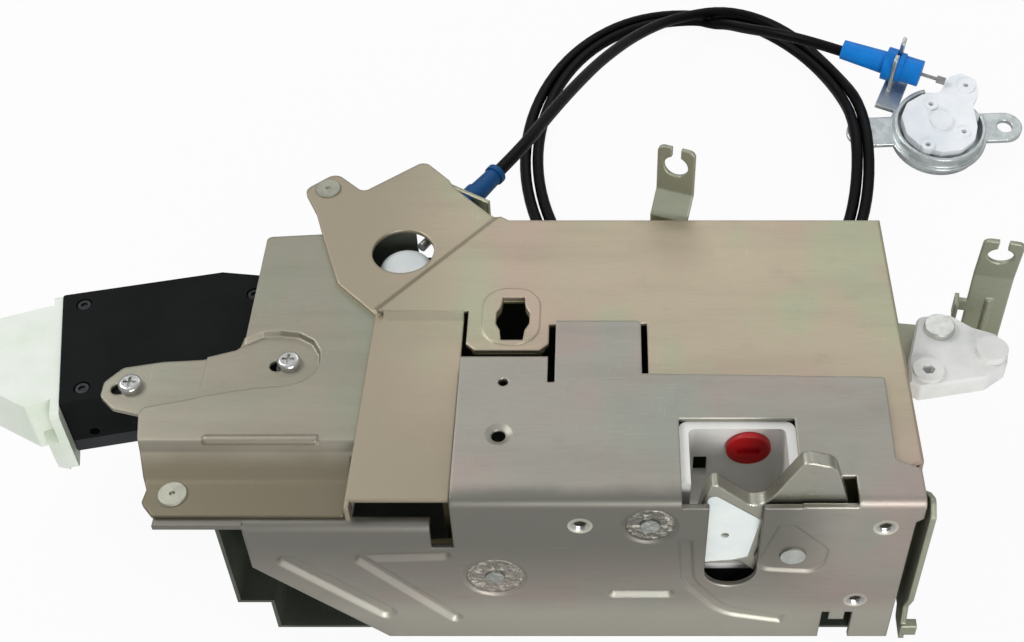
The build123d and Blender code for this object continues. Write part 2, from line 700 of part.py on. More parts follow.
CHANNEL_STEP_X = -125.0


def side_plate():
    step_end = SIDE_STEP_Y + SIDE_STEP_RUN
    top = [
        (-2, SIDE_FRONT_Z), (SIDE_FLAT_Y, SIDE_FRONT_Z), (SIDE_STEP_Y, SIDE_SLOPE_Z), (step_end, SIDE_Z),
        (140, SIDE_Z),
    ]
    under = [(y + 0.5, z - SIDE_T) for y, z in reversed(top)]
    corners = {top[1]: 6, top[2]: 1.0, top[3]: 1.6}
    sheet = plate_x(top + under, corners, -145.0, -40.0)
    sheet += side_bead()
    zone = flat(CHANNEL)
    floor = SEAT_Z - SIDE_T
    sheet += extrude(Plane.XY.offset(floor) * offset(zone, SIDE_T), amount=SIDE_Z - floor - 0.3)
    low = MODULE_TOP + SIDE_T
    sheet += block(-165, CHANNEL_STEP_X, 36, 73, MODULE_TOP, floor + 0.1) & slab_z(CHANNEL, 0, 10)
    sheet -= extrude(Plane.XY.offset(SIDE_Z + 0.5) * zone, amount=SEAT_Z - SIDE_Z - 0.5, taper=20)
    sheet -= block(-166, CHANNEL_STEP_X - 1, 30, 73, low, SIDE_Z + 1) & slab_z(CHANNEL, 0, 10)
    radii = {SIDE_OUTLINE[i]: radius for i, radius in SIDE_CORNERS.items()}
    plate = sheet & plate_z(SIDE_OUTLINE, radii, -20, 20)
    plate -= screw_holes() + rod_z(*RIVET_FRONT, RIVET_D + 2 * RUN, -5, 5)
    return one(plate)


def side_bead():
    """The raised bead along the top of the step, round at its left end."""
    y = SIDE_STEP_Y + SIDE_STEP_RUN + 0.6
    bead = rod_x(y, SIDE_Z - 0.9, 3.6, -119.5, -84.0)
    bead += Pos(-119.5, y, SIDE_Z - 0.9) * Sphere(1.8)
    return bead & block(-125, -80, y - 5, y + 5, SIDE_Z - 1.0, SIDE_Z + 2)


SCREW_1 = (-149.3, 53.6)
SCREW_2 = (-98.0, 63.0)
SCREW_D = 4.0


def screw_holes():
    holes = rod_z(*SCREW_2, SCREW_D, -5, 0)
    for x, y in (SCREW_1, SCREW_2):
        slot = Pos(x - 1.6, y - 0.4, 0) * Rot(0, 0, MODULE_TURN) * SlotCenterToCenter(5.0, 5.0)
        holes += extrude(Plane.XY.offset(-5) * slot, amount=20)
    return holes


def screw(x, y, z, length):
    body = rod_z(x, y, SCREW_D - 0.2, z - length, z + 0.1)
    head = rod_z(x, y, 7.8, z, z + 2.6)
    head = fillet(head.edges().filter_by(GeomType.CIRCLE).sort_by(Axis.Z)[-1:], 1.3)
    cross = block(x - 2.1, x + 2.1, y - 0.45, y + 0.45, z + 1.4, z + 3)
    cross += block(x - 0.45, x + 0.45, y - 2.1, y + 2.1, z + 1.4, z + 3)
    return head + body - cross


def mount_screws():
    first = screw(*SCREW_1, MODULE_TOP + SIDE_T, 9.0)
    second = screw(*SCREW_2, SEAT_Z, 7.0)
    return Compound(children=[one(first), one(second)])


def rivet(x, y, top, bottom, head=9.6):
    body = rod_z(x, y, RIVET_D, bottom, top)
    cap = rod_z(x, y, head, top, top + RIVET_HEAD_H)
    cap = chamfer(cap.edges().filter_by(GeomType.CIRCLE).sort_by(Axis.Z)[-1:], RIVET_HEAD_H * 0.6)
    cap -= Pos(x, y, top + RIVET_HEAD_H) * Sphere(0.9)
    foot = rod_z(x, y, 7.5, bottom - 1.0, bottom)
    return one(body + cap + foot)


def cover_rivets():
    low = COVER_Z - JOGGLE
    return Compound(children=[
        rivet(*RIVET_FRONT, SIDE_FRONT_Z, EXT_TOP - LATCH_T),
        rivet(*RIVET_TAB, low, low - COVER_T - CASE_T),
    ])


# Dark lower casing
def casing():
    outer = [
        (CASE_LEFT, SIDE_FRONT_Z - SIDE_T - LATCH_T), (CASE_LEFT, CASE_STEP_Z), (CASE_STEP_X, CASE_STEP_Z),
        (CASE_STEP_X, CASE_BOTTOM), (CASE_RIGHT, CASE_BOTTOM), (CASE_RIGHT, COVER_Z - COVER_T),
        (-60, COVER_Z - COVER_T), (-60, SIDE_FRONT_Z - SIDE_T - LATCH_T),
    ]
    t = CASE_T
    inner = [
        (CASE_LEFT + t, 20), (CASE_LEFT + t, CASE_STEP_Z + t), (CASE_STEP_X + t, CASE_STEP_Z + t),
        (CASE_STEP_X + t, CASE_BOTTOM + t), (CASE_RIGHT + 5, CASE_BOTTOM + t), (CASE_RIGHT + 5, 20),
    ]
    box = slab_y(outer, LATCH_T, CASE_BACK) - slab_y(inner, 0, CASE_BACK - t)
    box -= block(-130, -90, SHELF_DEPTH + 20, COVER_BACK + 5, -24.2, 20)
    box += block(CASE_LEFT, CASE_LEFT + t, SHELF_DEPTH + 0.2, SHELF_DEPTH + 20, -6, SIDE_FRONT_Z - SIDE_T - LATCH_T)
    box += tab_ear() + screw_post()
    box -= block(-60.5, -27.5, CASE_BACK - t - 1, CASE_BACK + 1, -8, 20)
    return one(box)


def tab_ear():
    """The ear of the casing that the cover's tab is riveted to."""
    low = COVER_Z - JOGGLE - COVER_T
    ear = block(-101, -80, CASE_BACK - CASE_T, 152, low - CASE_T, low)
    ear += block(-89.9, -60.6, CASE_BACK - CASE_T, CASE_BACK, -24.4, low)
    ear -= rod_z(*RIVET_TAB, RIVET_D + 2 * RUN, 0, 20)
    return ear


def screw_post():
    x, y = SCREW_2
    post = rod_z(x, y, 9.0, CASE_BOTTOM + 0.1, SEAT_Z - SIDE_T)
    return post - rod_z(x, y, SCREW_D - 0.2, -10, 20)


# White cam seen through the round hole, on its bracket
CAM_SHELF_Z = -9.0
CAM_PIN_D = 6.0
CAM_PIVOT = (-52.0, 108.0)
CAM_DOME = (-63.4, 111.6)
CAM_DOME_D = 19.0
CAM_TOP = 2.6


def cam_bracket():
    x, y = CAM_PIVOT
    shelf = block(x - 21, x + 9, y - 10, CASE_BACK - CASE_T, CAM_SHELF_Z - 1.5, CAM_SHELF_Z)
    shelf = fillet(shelf.edges().filter_by(Axis.Z).sort_by(Axis.Y)[:2], 5)
    back = CASE_BACK - CASE_T
    shelf += block(x - 21, x + 9, back - 1.5, back, CAM_SHELF_Z - 14, CAM_SHELF_Z)
    shelf += rod_z(x, y, CAM_PIN_D - 2 * RUN, CAM_SHELF_Z, CAM_SHELF_Z + 8.0)
    return one(shelf)


def key_cam():
    x, y = CAM_DOME
    base = CAM_SHELF_Z + 0.1
    cam = rod_z(x, y, CAM_DOME_D, base, CAM_TOP)
    cam = fillet(cam.edges().filter_by(GeomType.CIRCLE).sort_by(Axis.Z)[-1:], 3.2)
    px, py = CAM_PIVOT
    arm = slab_z([(x - 2, y - 7), (px, py - 5.5), (px, py + 5.5), (x + 4, y + 7)], base, base + 6)
    cam += arm + rod_z(px, py, 13.0, base, base + 7)
    cam -= rod_z(px, py, CAM_PIN_D, base - 1, CAM_SHELF_Z + 8.6)
    return one(cam)


# Motor module
def module_place():
    return Pos(*MODULE_CORNER, 0) * Rot(0, 0, MODULE_TURN)


MODULE_OUTLINE = [(0, 0), (MODULE_L, 0), (MODULE_L, MODULE_W - 5.2), (55.6, MODULE_W), (0, MODULE_W)]
MODULE_ROOM = [
    (MODULE_WALL, MODULE_WALL), (MODULE_L - MODULE_WALL, MODULE_WALL), (MODULE_L - MODULE_WALL, MODULE_W - 6.8),
    (54.6, MODULE_W - MODULE_WALL), (MODULE_WALL, MODULE_W - MODULE_WALL),
]
MODULE_SCREWS = [(7.5, 6.0), (7.5, MODULE_W - 6.5), (MODULE_L - 7, 6.0), (MODULE_L - 5, MODULE_W - 13.6)]
MODULE_SPLIT = 6.0


def module_housing():
    bottom = MODULE_TOP - MODULE_H + MODULE_SPLIT
    outer = slab_z(MODULE_OUTLINE, bottom, MODULE_TOP)
    outer = fillet(outer.edges().filter_by(Axis.Z), 1.0)
    outer = fillet(outer.faces().sort_by(Axis.Z)[-1].edges(), 0.8)
    shell = outer - slab_z(MODULE_ROOM, bottom - 1, MODULE_TOP - MODULE_WALL)
    for u, v in MODULE_SCREWS:
        shell += rod_z(u, v, 7.5, bottom, MODULE_TOP - 1)
        shell -= rod_z(u, v, 3.0, bottom - 1, MODULE_TOP + 1)
        shell -= rod_z(u, v, 5.6, MODULE_TOP - 1.6, MODULE_TOP + 1)
    u, v = module_local(SCREW_1)
    shell += rod_z(u, v, 8.5, bottom + 6, MODULE_TOP - 1)
    shell -= rod_z(u, v, SCREW_D - 0.2, MODULE_TOP - 11, MODULE_TOP + 1)
    shell -= rod_y(8.0, bottom + 3.0, 3.4, -1, 3.0)
    return one(module_place() * shell)


def module_local(point):
    dx, dy = point[0] - MODULE_CORNER[0], point[1] - MODULE_CORNER[1]
    turn = math.radians(MODULE_TURN)
    return dx * math.cos(turn) + dy * math.sin(turn), dy * math.cos(turn) - dx * math.sin(turn)


def module_base():
    low = MODULE_TOP - MODULE_H
    base = slab_z(MODULE_OUTLINE, low, low + MODULE_SPLIT)
    base = fillet(base.edges().filter_by(Axis.Z), 1.0)
    base = fillet(base.faces().sort_by(Axis.Z)[0].edges(), 0.8)
    w = MODULE_WALL
    base -= slab_z(MODULE_ROOM, low + w, low + 10)
    for u, v in MODULE_SCREWS:
        base += rod_z(u, v, 7.5, low + 1, low + MODULE_SPLIT)
        base -= rod_z(u, v, 2.6, low + 2, low + 10)
    base += rod_z(*GEAR, 7.0, low + w - 0.1, low + w + 2.0)
    base += rod_z(*GEAR, GEAR_PIN_D - 2 * RUN, low + w, low + MODULE_H - MODULE_WALL - 0.3)
    return one(module_place() * base)


def module_screws():
    screws = []
    for u, v in MODULE_SCREWS:
        top = MODULE_TOP - 1.6
        body = rod_z(u, v, 2.5, MODULE_TOP - MODULE_H + 2.5, top + 0.1)
        head = rod_z(u, v, 5.2, top, top + 1.3)
        head = chamfer(head.edges().filter_by(GeomType.CIRCLE).sort_by(Axis.Z)[-1:], 0.4)
        head -= rod_z(u, v, 2.4, top + 0.6, top + 2)
        screws.append(one(module_place() * (body + head)))
    return Compound(children=screws)


# Motor and gear in the module
GEAR_ROOT_D = 21.6
GEAR_PIN_D = 4.0
GEAR_TEETH = 30
GEAR_FACE = 8.0
WORM_V = MODULE_W - 11.1
GEAR = (52.0, WORM_V - 15.5)
WORM_SHAFT_D = 2.0
WORM_PITCH = 3.0
WORM_TURNS = 6
MOTOR_D = 17.5
AXIS_Z = MODULE_TOP - MODULE_H / 2


def motor():
    can = rod_x(WORM_V, AXIS_Z, MOTOR_D, 13.0, 37.0)
    can = fillet(can.edges().filter_by(GeomType.CIRCLE), 1.2)
    can &= block(0, 60, WORM_V - 20, WORM_V + 8.3, AXIS_Z - 7.2, AXIS_Z + 7.2)
    nose = rod_x(WORM_V, AXIS_Z, 6.0, 36.5, 39.5)
    bore = rod_x(WORM_V, AXIS_Z, WORM_SHAFT_D + 2 * RUN, 22.0, 42.0)
    cradle = block(15, 35, WORM_V - 6, WORM_V + 6, AXIS_Z - 9.6, AXIS_Z - 7.1)
    return one(module_place() * (can + nose + cradle - bore))


def motor_worm():
    shaft = rod_x(WORM_V, AXIS_Z, WORM_SHAFT_D, 24.5, 61.6)
    worm = shaft + rod_x(WORM_V, AXIS_Z, 4.8, 43.0, 61.0)
    for turn in range(WORM_TURNS):
        thread = Pos(44.5 + turn * WORM_PITCH, WORM_V, AXIS_Z) * Rot(0, 90, 0)
        worm += thread * Cone(3.3, 2.5, 0.7)
        worm += thread * Pos(0, 0, -0.7) * Cone(2.5, 3.3, 0.7)
    return one(module_place() * worm)


def worm_gear():
    x, y = GEAR
    low, high = AXIS_Z - GEAR_FACE / 2, AXIS_Z + GEAR_FACE / 2
    radius = GEAR_ROOT_D / 2
    gear = rod_z(x, y, 2 * radius, low, high)
    pitch = 360 / GEAR_TEETH
    for tooth in range(GEAR_TEETH):
        shape = Pos(x, y) * Rot(0, 0, tooth * pitch) * Pos(radius + 0.4, 0) * Trapezoid(1.9, 1.5, 75, rotation=-90)
        gear += extrude(Plane.XY.offset(low) * shape, amount=high - low)
    gear += rod_z(x, y, 9.0, high - 0.1, high + 4.0)
    gear -= rod_z(x, y, GEAR_PIN_D, low - 1, high + 5)
    gear += rod_z(x + 7.0, y - 2.5, 3.6, high - 0.1, high + 3.0)
    return one(module_place() * gear)


# Connector on the module's end
def connector_shell():
    top, low = MODULE_TOP - 1.0, MODULE_TOP - MODULE_H - 4.0
    flange = block(-3.0, -0.02, -4.0, MODULE_W + 1.0, low, top)
    flange = fillet(flange.edges().filter_by(Axis.X), 2.0)
    nose = slab_z([(-2.9, 4.0), (-11.0, 2.0), (-26.5, 15.5), (-29.0, 31.0), (-27.0, 44.5), (-2.9, 48.0)], low + 7, top)
    nose = fillet(nose.edges().filter_by(Axis.Z), 1.2)
    socket = block(-40, -6.0, 17.5, 41.0, low + 11, top - 3.0)
    foot = slab_z([(-2.9, -4.0), (-7.0, -2.0), (-8.5, 2.0), (-2.9, 6.0)], low, low + 14)
    return one(module_place() * (flange + nose + foot - socket))


def connector_pins():
    pins = []
    low, top = MODULE_TOP - MODULE_H + 7.0, MODULE_TOP - 4.0
    for row in range(2):
        for column in range(4):
            v = 20.8 + column * 5.6
            z = low + 3.0 + row * (top - low - 6.0)
            pins.append(one(module_place() * block(-16.0, -6.0, v - 0.7, v + 0.7, z - 0.4, z + 0.4)))
    return Compound(children=pins)


# Clip brackets for the rods, C-shaped at their ends
def c_clip(width, hole_d, mouth, length):
    """A strip end with a hole that opens upwards, in the XY plane."""
    top = hole_d * 0.9
    sheet = flat([(-width / 2, -length), (width / 2, -length), (width / 2, top), (-width / 2, top)])
    sheet = fillet(sheet.vertices().sort_by(Axis.Y)[-2:], width * 0.18)
    return sheet - Circle(hole_d / 2) - Pos(0, hole_d) * Rectangle(mouth, 2 * hole_d)


CLIP_HOLE_D = 9.0
CLIP_MOUTH = 3.4
CLIP_W = 14.0
CLIP_T = 1.5
REAR_FOLD = (33.3, 136.6, 15.2)
REAR_TURN = -20.0
REAR_LEAN = 40.0
REAR_RISE = 9.8
REAR_HEAD_L = 12.0
RIGHT_FOLD = (145.6, 104.0, 4.2)
RIGHT_TURN = -10.0
RIGHT_LEAN = 12.0
RIGHT_HEAD_L = 13.0
RIGHT_FOOT_L = 32.5


def clip_head(length):
    """The clip end of a strip, its fold along X through the origin."""
    head = extrude(Plane.XZ * c_clip(CLIP_W, CLIP_HOLE_D, CLIP_MOUTH, length), amount=-CLIP_T)
    return Pos(0, 0, length) * head


def fold_fill():
    """Fills the outside of a fold along X through the origin."""
    half = CLIP_W / 2
    return rod_x(0, 0, 2 * CLIP_T, -half, half) & block(-half, half, 0, CLIP_T, -CLIP_T, CLIP_T)


def clip_bracket_rear():
    """A strip behind the back wall: it leans back, then its clip stands up."""
    half = CLIP_W / 2
    lean = math.radians(REAR_LEAN)
    back, down = REAR_RISE * math.sin(lean), REAR_RISE * math.cos(lean)
    strip = clip_head(REAR_HEAD_L) + fold_fill()
    strip += Rot(-REAR_LEAN, 0, 0) * block(-half, half, 0, CLIP_T, -REAR_RISE - 0.5, 0.01)
    strip += block(-half, half, -back, CLIP_T - back, -down - 28, -down)
    strip = Pos(*REAR_FOLD) * Rot(0, 0, REAR_TURN) * strip
    x = REAR_FOLD[0]
    strip += block(x - half, x + 3, COVER_BACK + 0.02, REAR_FOLD[1] - back + 1, -20, -12)
    return one(strip)


def clip_bracket_right():
    """A strip beside the body with a stiffening bead, a side tab and a clip."""
    half = CLIP_W / 2
    strip = block(-half, half, 0, CLIP_T, -RIGHT_FOOT_L, 0.01) + fold_fill()
    strip += Rot(RIGHT_LEAN, 0, 0) * clip_head(RIGHT_HEAD_L)
    strip += rod_z(0.5, 0.2, 2.6, -30, -11) & block(-2, 3, -1.1, 0.5, -31, -10)
    strip += block(-half - 4.5, -half, 0, CLIP_T, -18.5, -13.5)
    hook = [(-4.0, -20.5), (CLIP_T, -20.5), (CLIP_T, -11.5), (-4.0, -11.5)]
    strip += plate_x(hook, {hook[0]: 2, hook[3]: 2}, -half - 4.5, -half - 3)
    strip = Pos(*RIGHT_FOLD) * Rot(0, 0, RIGHT_TURN) * strip
    x, y, z = RIGHT_FOLD
    low = z - RIGHT_FOOT_L
    strip += block(COVER_RIGHT + 0.02, x + half, y - 16, y + 2 * CLIP_T, low - 1.2, low + 0.3)
    strip += block(COVER_RIGHT + 0.02, COVER_RIGHT + CLIP_T, y - 16, y + 2 * CLIP_T, low - 16, low + 0.3)
    return one(strip)


# White bell crank on its pin
CRANK_PIN = (124.2, 84.5)
CRANK_Z = -2.0
CRANK_PIN_D = 7.0


def lever_bracket():
    x, y = CRANK_PIN
    low = CRANK_Z - 8.5
    points = [(COVER_RIGHT + 0.02, y - 14), (x, y - 8), (x + 8, y), (x, y + 8), (COVER_RIGHT + 0.02, y + 10)]
    plate = plate_z(points, {points[2]: 6}, low, low + 1.5)
    plate += block(COVER_RIGHT + 0.02, COVER_RIGHT + 1.5, y - 14, y + 10, low - 12, low + 1.5)
    return one(plate - rod_z(x, y, CRANK_PIN_D - 2, low - 1, low + 3))


def crank_pin():
    x, y = CRANK_PIN
    low = CRANK_Z - 8.5
    pin = rod_z(x, y, CRANK_PIN_D - 2 - 2 * RUN, low - 1.2, low + 1.6)
    pin += rod_z(x, y, CRANK_PIN_D - 2 * RUN, low + 1.5, CRANK_Z + 0.4)
    head = rod_z(x, y, 10.6, CRANK_Z + 0.3, CRANK_Z + 2.4)
    head = fillet(head.edges().filter_by(GeomType.CIRCLE).sort_by(Axis.Z)[-1:], 0.4)
    return one(pin + head)


def bell_crank():
    x, y = CRANK_PIN
    low = CRANK_Z - 6.9
    shape = [
        (-6.5, 6.5), (5.0, 7.5), (12.0, 1.5), (19.5, -1.5), (23.0, -8.0), (21.0, -16.0), (13.0, -22.0), (-10.0, -26.5),
        (-13.5, -24.0), (-12.5, -14.0),
    ]
    points = [(x + dx, y + dy) for dx, dy in shape]
    corners = {points[0]: 4, points[1]: 3, points[3]: 3, points[4]: 3, points[5]: 4, points[6]: 4, points[7]: 2}
    crank = plate_z(points, corners, low, CRANK_Z)
    top = crank.faces().sort_by(Axis.Z)[-1]
    crank = chamfer(top.edges(), 0.8)
    crank += rod_z(x - 6.6, y - 19.5, 10.5, low, CRANK_Z + 1.4)
    crank -= Pos(x - 6.6, y - 19.5, 0) * extrude(RegularPolygon(2.3, 6), amount=20, both=True)
    crank += rod_z(x + 16.3, y - 11.0, 11.0, low, CRANK_Z + 2.6)
    crank -= rod_z(x, y, CRANK_PIN_D, low - 2, CRANK_Z + 3)
    return one(crank)


# Outside lever along the right end
SIDE_LEVER_PIN = (62.0, -22.0)
SIDE_LEVER_X = 103.6


def side_lever():
    x = SIDE_LEVER_X
    y, z = SIDE_LEVER_PIN
    outline = [(-1.5, 6.0), (3.0, 10.0), (12.0, 3.0), (40, -8), (y + 8, z + 9), (y + 12, z), (y + 6, z - 9), (40, -34), (14, -40), (6.5, -62), (-1.5, -63.0), (1.5, -48), (-1.5, -40)]
    corners = {outline[1]: 2, outline[4]: 8, outline[6]: 6, outline[9]: 2}
    run = [(x + 3.6, -3), (x + 5.4, -3), (x + 5.4, 8.8), (x + 1.8, 14.5), (x + 1.8, 100), (x, 100), (x, 13.9), (x + 3.6, 8.2)]
    sheet = slab_z(run, -70, 20)
    lever = sheet & plate_x(outline, corners, x - 2, x + 8)
    lever -= rod_x(y, z, 6.0, x - 2, x + 8)
    hook = block(x + 3.6, x + 9.0, -1.5, 1.6, -61, -56)
    return one(lever + hook)


def side_lever_pin():
    x = SIDE_LEVER_X
    y, z = SIDE_LEVER_PIN
    pin = rod_x(y, z, 6.0 - 2 * RUN, x - 1.4, COVER_RIGHT - COVER_T)
    pin += rod_x(y, z, 9.0, x - 2.9, x - 0.3)
    return one(pin)


# Cable: near fitting, wires, lead, coil, tail and far fitting
def near_frame():
    return Pos(*NEAR_CLIP, NEAR_Z) * Rot(0, 0, NEAR_TURN) * Rot(0, 90, 0)


def along_near(distance):
    """A point on the near fitting's axis, from its clip outwards."""
    x, y = polar(NEAR_CLIP, distance, NEAR_TURN)
    return x, y, NEAR_Z


def tube(d, z0, z1):
    return Pos(0, 0, (z0 + z1) / 2) * Cylinder(d / 2, z1 - z0)


def cable_fitting_near():
    front = NEAR_BODY_L - NEAR_BACK
    shape = tube(NEAR_D, -NEAR_BACK, front)
    tail = Pos(0, 0, front + NEAR_TAIL_L / 2 - 0.05) * Cone(3.8, 3.3, NEAR_TAIL_L)
    lip = tube(8.0, front + NEAR_TAIL_L - 2.4, front + NEAR_TAIL_L - 0.2)
    shape += tail + lip
    middle = NEAR_GROOVE - NEAR_BACK
    half = CLIP_SHEET / 2 + 0.02
    shape -= tube(2 * NEAR_D, middle - half, middle + half) - tube(NEAR_D - 3.0, middle - 2, middle + 2)
    shape -= tube(WIRE_BORE_D, -NEAR_BACK - 1, 4.0)
    return one(near_frame() * shape)


def cable_clip():
    """The steel tongue of the tab that hangs down and holds the fitting's groove."""
    middle = NEAR_GROOVE - NEAR_BACK
    sheet = Rectangle(13.0, 19.5) - Circle(NEAR_D / 2 - 1.5)
    plate = near_frame() * Pos(0, 0, middle - CLIP_SHEET / 2) * extrude(sheet, amount=CLIP_SHEET)
    keep = block(-80, 0, 100, 180, -8.5, COVER_Z - JOGGLE - COVER_T)
    return one(plate & keep)


CAM_WIRE_GAP = 1.2


def cam_wire():
    """The inner wire between the near fitting and the cam."""
    x, y = CAM_DOME[0] - NEAR_CLIP[0], CAM_DOME[1] - NEAR_CLIP[1]
    turn = math.radians(NEAR_TURN)
    run = -(x * math.cos(turn) + y * math.sin(turn))
    side = abs(y * math.cos(turn) - x * math.sin(turn))
    reach = run - math.sqrt((CAM_DOME_D / 2) ** 2 - side ** 2) - CAM_WIRE_GAP
    wire = tube(WIRE_D, -reach, -NEAR_BACK + 6.5) + tube(3.4, -reach, -reach + 4.5)
    return one(near_frame() * wire)


def coil_profile():
    """The coil seen from the side: it lies flat and rises over the ear."""
    a, b, c, d = HUMP_Y
    front, back = 100.0, 400.0
    low = TABLE
    high = TABLE + COIL_H
    return [
        (front, low), (a, low), (b, low + HUMP_LIFT), (c, low + HUMP_LIFT), (d, low), (back, low),
        (back, high), (d, high), (c, high + HUMP_LIFT), (b, high + HUMP_LIFT), (a, high), (front, high),
    ]


def cable_coil():
    ring = Pos(*COIL_CENTRE) * (Ellipse(COIL_RX, COIL_RY) - Ellipse(COIL_RX - COIL_W, COIL_RY - COIL_W))
    tall = extrude(Plane.XY.offset(TABLE) * ring, amount=COIL_H + HUMP_LIFT)
    x = COIL_CENTRE[0]
    flat_side = tall & block(x - 100, x, 100, 400, TABLE, TABLE + COIL_H)
    hump_side = tall & slab_x(coil_profile(), x, x + 100)
    return one(flat_side + hump_side)


# The cable's route where it isn't coiled, points chosen along its real path
CABLE_STRAIGHT = 17.0
LEAD_ROUTE = [
    (-15.0, 205.0, -5.5),
    (-4.5, 236.0, -14.5),
    (7.5, 271.0, -26.5),
    (24.0, 308.0, -40.0),
    (43.0, 336.0, -51.5),
    (64.0, 350.0, -58.0),
]
TAIL_ROUTE = [
    (86.5, 311.0, -41.5),
    (75.5, 324.5, -49.0),
    (68.0, 336.0, -55.0),
    (61.0, 347.0, -59.5),
]


def cable_tube(name, points):
    """A tube of straight runs joined by arcs as large as the runs allow."""
    places = [Vector(*p) for p in points]
    radii = []
    for before, at, after in zip(places, places[1:], places[2:]):
        turn = math.radians((at - before).get_angle(after - at))
        radii.append(0.45 * min((at - before).length, (after - at).length) / math.tan(turn / 2))
    path = FilletPolyline(*places, radius=radii)
    ring = Plane(path @ 0, z_dir=path % 0) * Circle(CABLE_D / 2)
    shape = sweep(ring, path=path)
    share = shape.volume / (math.pi * CABLE_D ** 2 / 4 * path.length)
    print(name, "radii", [round(r) for r in radii], "length", round(path.length, 1), "volume share", round(share, 4))
    return shape


def cable_lead():
    end = NEAR_BODY_L - NEAR_BACK + NEAR_TAIL_L - 0.05
    start = [along_near(end), along_near(end + CABLE_STRAIGHT)]
    return one(cable_tube("lead", start + LEAD_ROUTE) - cable_coil())


def cable_tail():
    start = [tuple((far_place() * Pos(0, 0, -reach)).position) for reach in (FAR_L, FAR_L + CABLE_STRAIGHT)]
    return one(cable_tube("tail", start + TAIL_ROUTE) - cable_coil())


# Key lever unit
def key_frame():
    return Pos(*KEY_AXIS, TABLE + KEY_LIFT) * Rot(KEY_TILT, 0, 0)


def far_place():
    return key_frame() * Pos(*FAR_END, FAR_Z) * Rot(0, 0, FAR_TURN) * Rot(0, 90, 0)


def cable_fitting_far():
    shape = Pos(0, 0, (-FAR_L - 16.5) / 2) * Cone(4.4, 5.2, FAR_L - 16.5)
    shape += tube(FAR_COLLAR_D, -17.0, FAR_GROOVE[0])
    shape += tube(10.0, -17.0, 0)
    shape += tube(13.5, FAR_GROOVE[1], -8.4)
    shape += tube(FAR_BODY_D, -8.5, 0)
    shape -= tube(WIRE_BORE_D, -20.0, 1)
    return one(far_place() * shape)


def key_wire():
    wire = tube(WIRE_D, -14.0, 11.0) + tube(3.4, 7.5, 11.5)
    return one(far_place() * wire)


def key_bracket():
    """Ears, cup and the upright tongue that holds the cable's end."""
    cx, cy = KEY_CENTRE
    ears = Rot(0, 0, EAR_TURN) * SlotCenterToCenter(EAR_SPACING, EAR_W)
    flat_plate = extrude(ears + Pos(cx, cy) * Circle(KEY_RING_D / 2 + 1.5), amount=KEY_T)
    for side in (-1, 1):
        hole = Rot(0, 0, EAR_TURN) * Pos(side * EAR_SPACING / 2, 0) * Circle(EAR_HOLE_D / 2)
        flat_plate -= extrude(hole, amount=KEY_T)
    place = Pos(cx, cy)
    flat_plate -= place * tube(KEY_RING_D - 2 * KEY_RING_T, -1, 5)
    cup = place * (tube(KEY_RING_D, KEY_RING_LOW, KEY_RING_TOP) - tube(KEY_RING_D - 2 * KEY_RING_T, KEY_RING_LOW + KEY_RING_T, 20))
    cup -= place * slab_z([(0, 0), polar((0, 0), 40, GAP_FROM), polar((0, 0), 50, 60), polar((0, 0), 40, GAP_TO)], -10, 20)
    cup += place * tube(KEY_RING_D, KEY_RING_LOW, KEY_RING_LOW + KEY_RING_T)
    cup -= place * tube(KEY_PIN_D - 2, -10, 10)
    strap = flat_strap()
    return one(key_frame() * (flat_plate + cup + strap))


def flat_strap():
    """The strap from the cup to the upright tongue, in the unit's frame."""
    gx, gy = polar(FAR_END, (FAR_GROOVE[0] + FAR_GROOVE[1]) / 2, FAR_TURN)
    upright = Rectangle(16.0, 24.0) - Circle(5.1) - Pos(0, 9) * Rectangle(6.5, 18)
    upright = fillet(upright.vertices().sort_by(Axis.Y)[-4:], 1.5)
    sheet = extrude(upright, amount=1.6)
    turn = Pos(gx, gy, FAR_Z) * Rot(0, 0, FAR_TURN) * Rot(0, 90, 0) * Rot(0, 0, 90)
    sheet = turn * Pos(0, 0, -0.8) * sheet
    base = Pos(gx, gy, 0) * Rot(0, 0, FAR_TURN) * Pos(2.0, -9.0, (KEY_T - 1.6) / 2) * Box(10, 18, KEY_T)
    base = Pos(0, 0, 1.0 - (KEY_T - 1.6) / 2) * base
    return sheet + base


def key_pin():
    place = key_frame() * Pos(*KEY_CENTRE)
    pin = tube(KEY_PIN_D - 2 - 2 * RUN, KEY_RING_LOW, KEY_RING_LOW + KEY_RING_T + 0.1)
    pin += tube(KEY_PIN_D - 2 * RUN, KEY_RING_LOW + KEY_RING_T, KEY_LEVER_Z + KEY_LEVER_T + 0.5)
    return one(place * pin)


KEY_LEVER_POINTS = [
    (-15.8, 2.0), (-12.5, 9.5), (-5.0, 14.5), (3.0, 15.5), (8.0, 24.5), (14.0, 27.0), (20.5, 23.0), (20.5, 15.0),
    (17.0, 8.0), (17.5, -4.0), (15.5, -11.5), (9.0, -17.0), (0.0, -18.3), (-9.0, -14.8), (-14.5, -8.0),
]


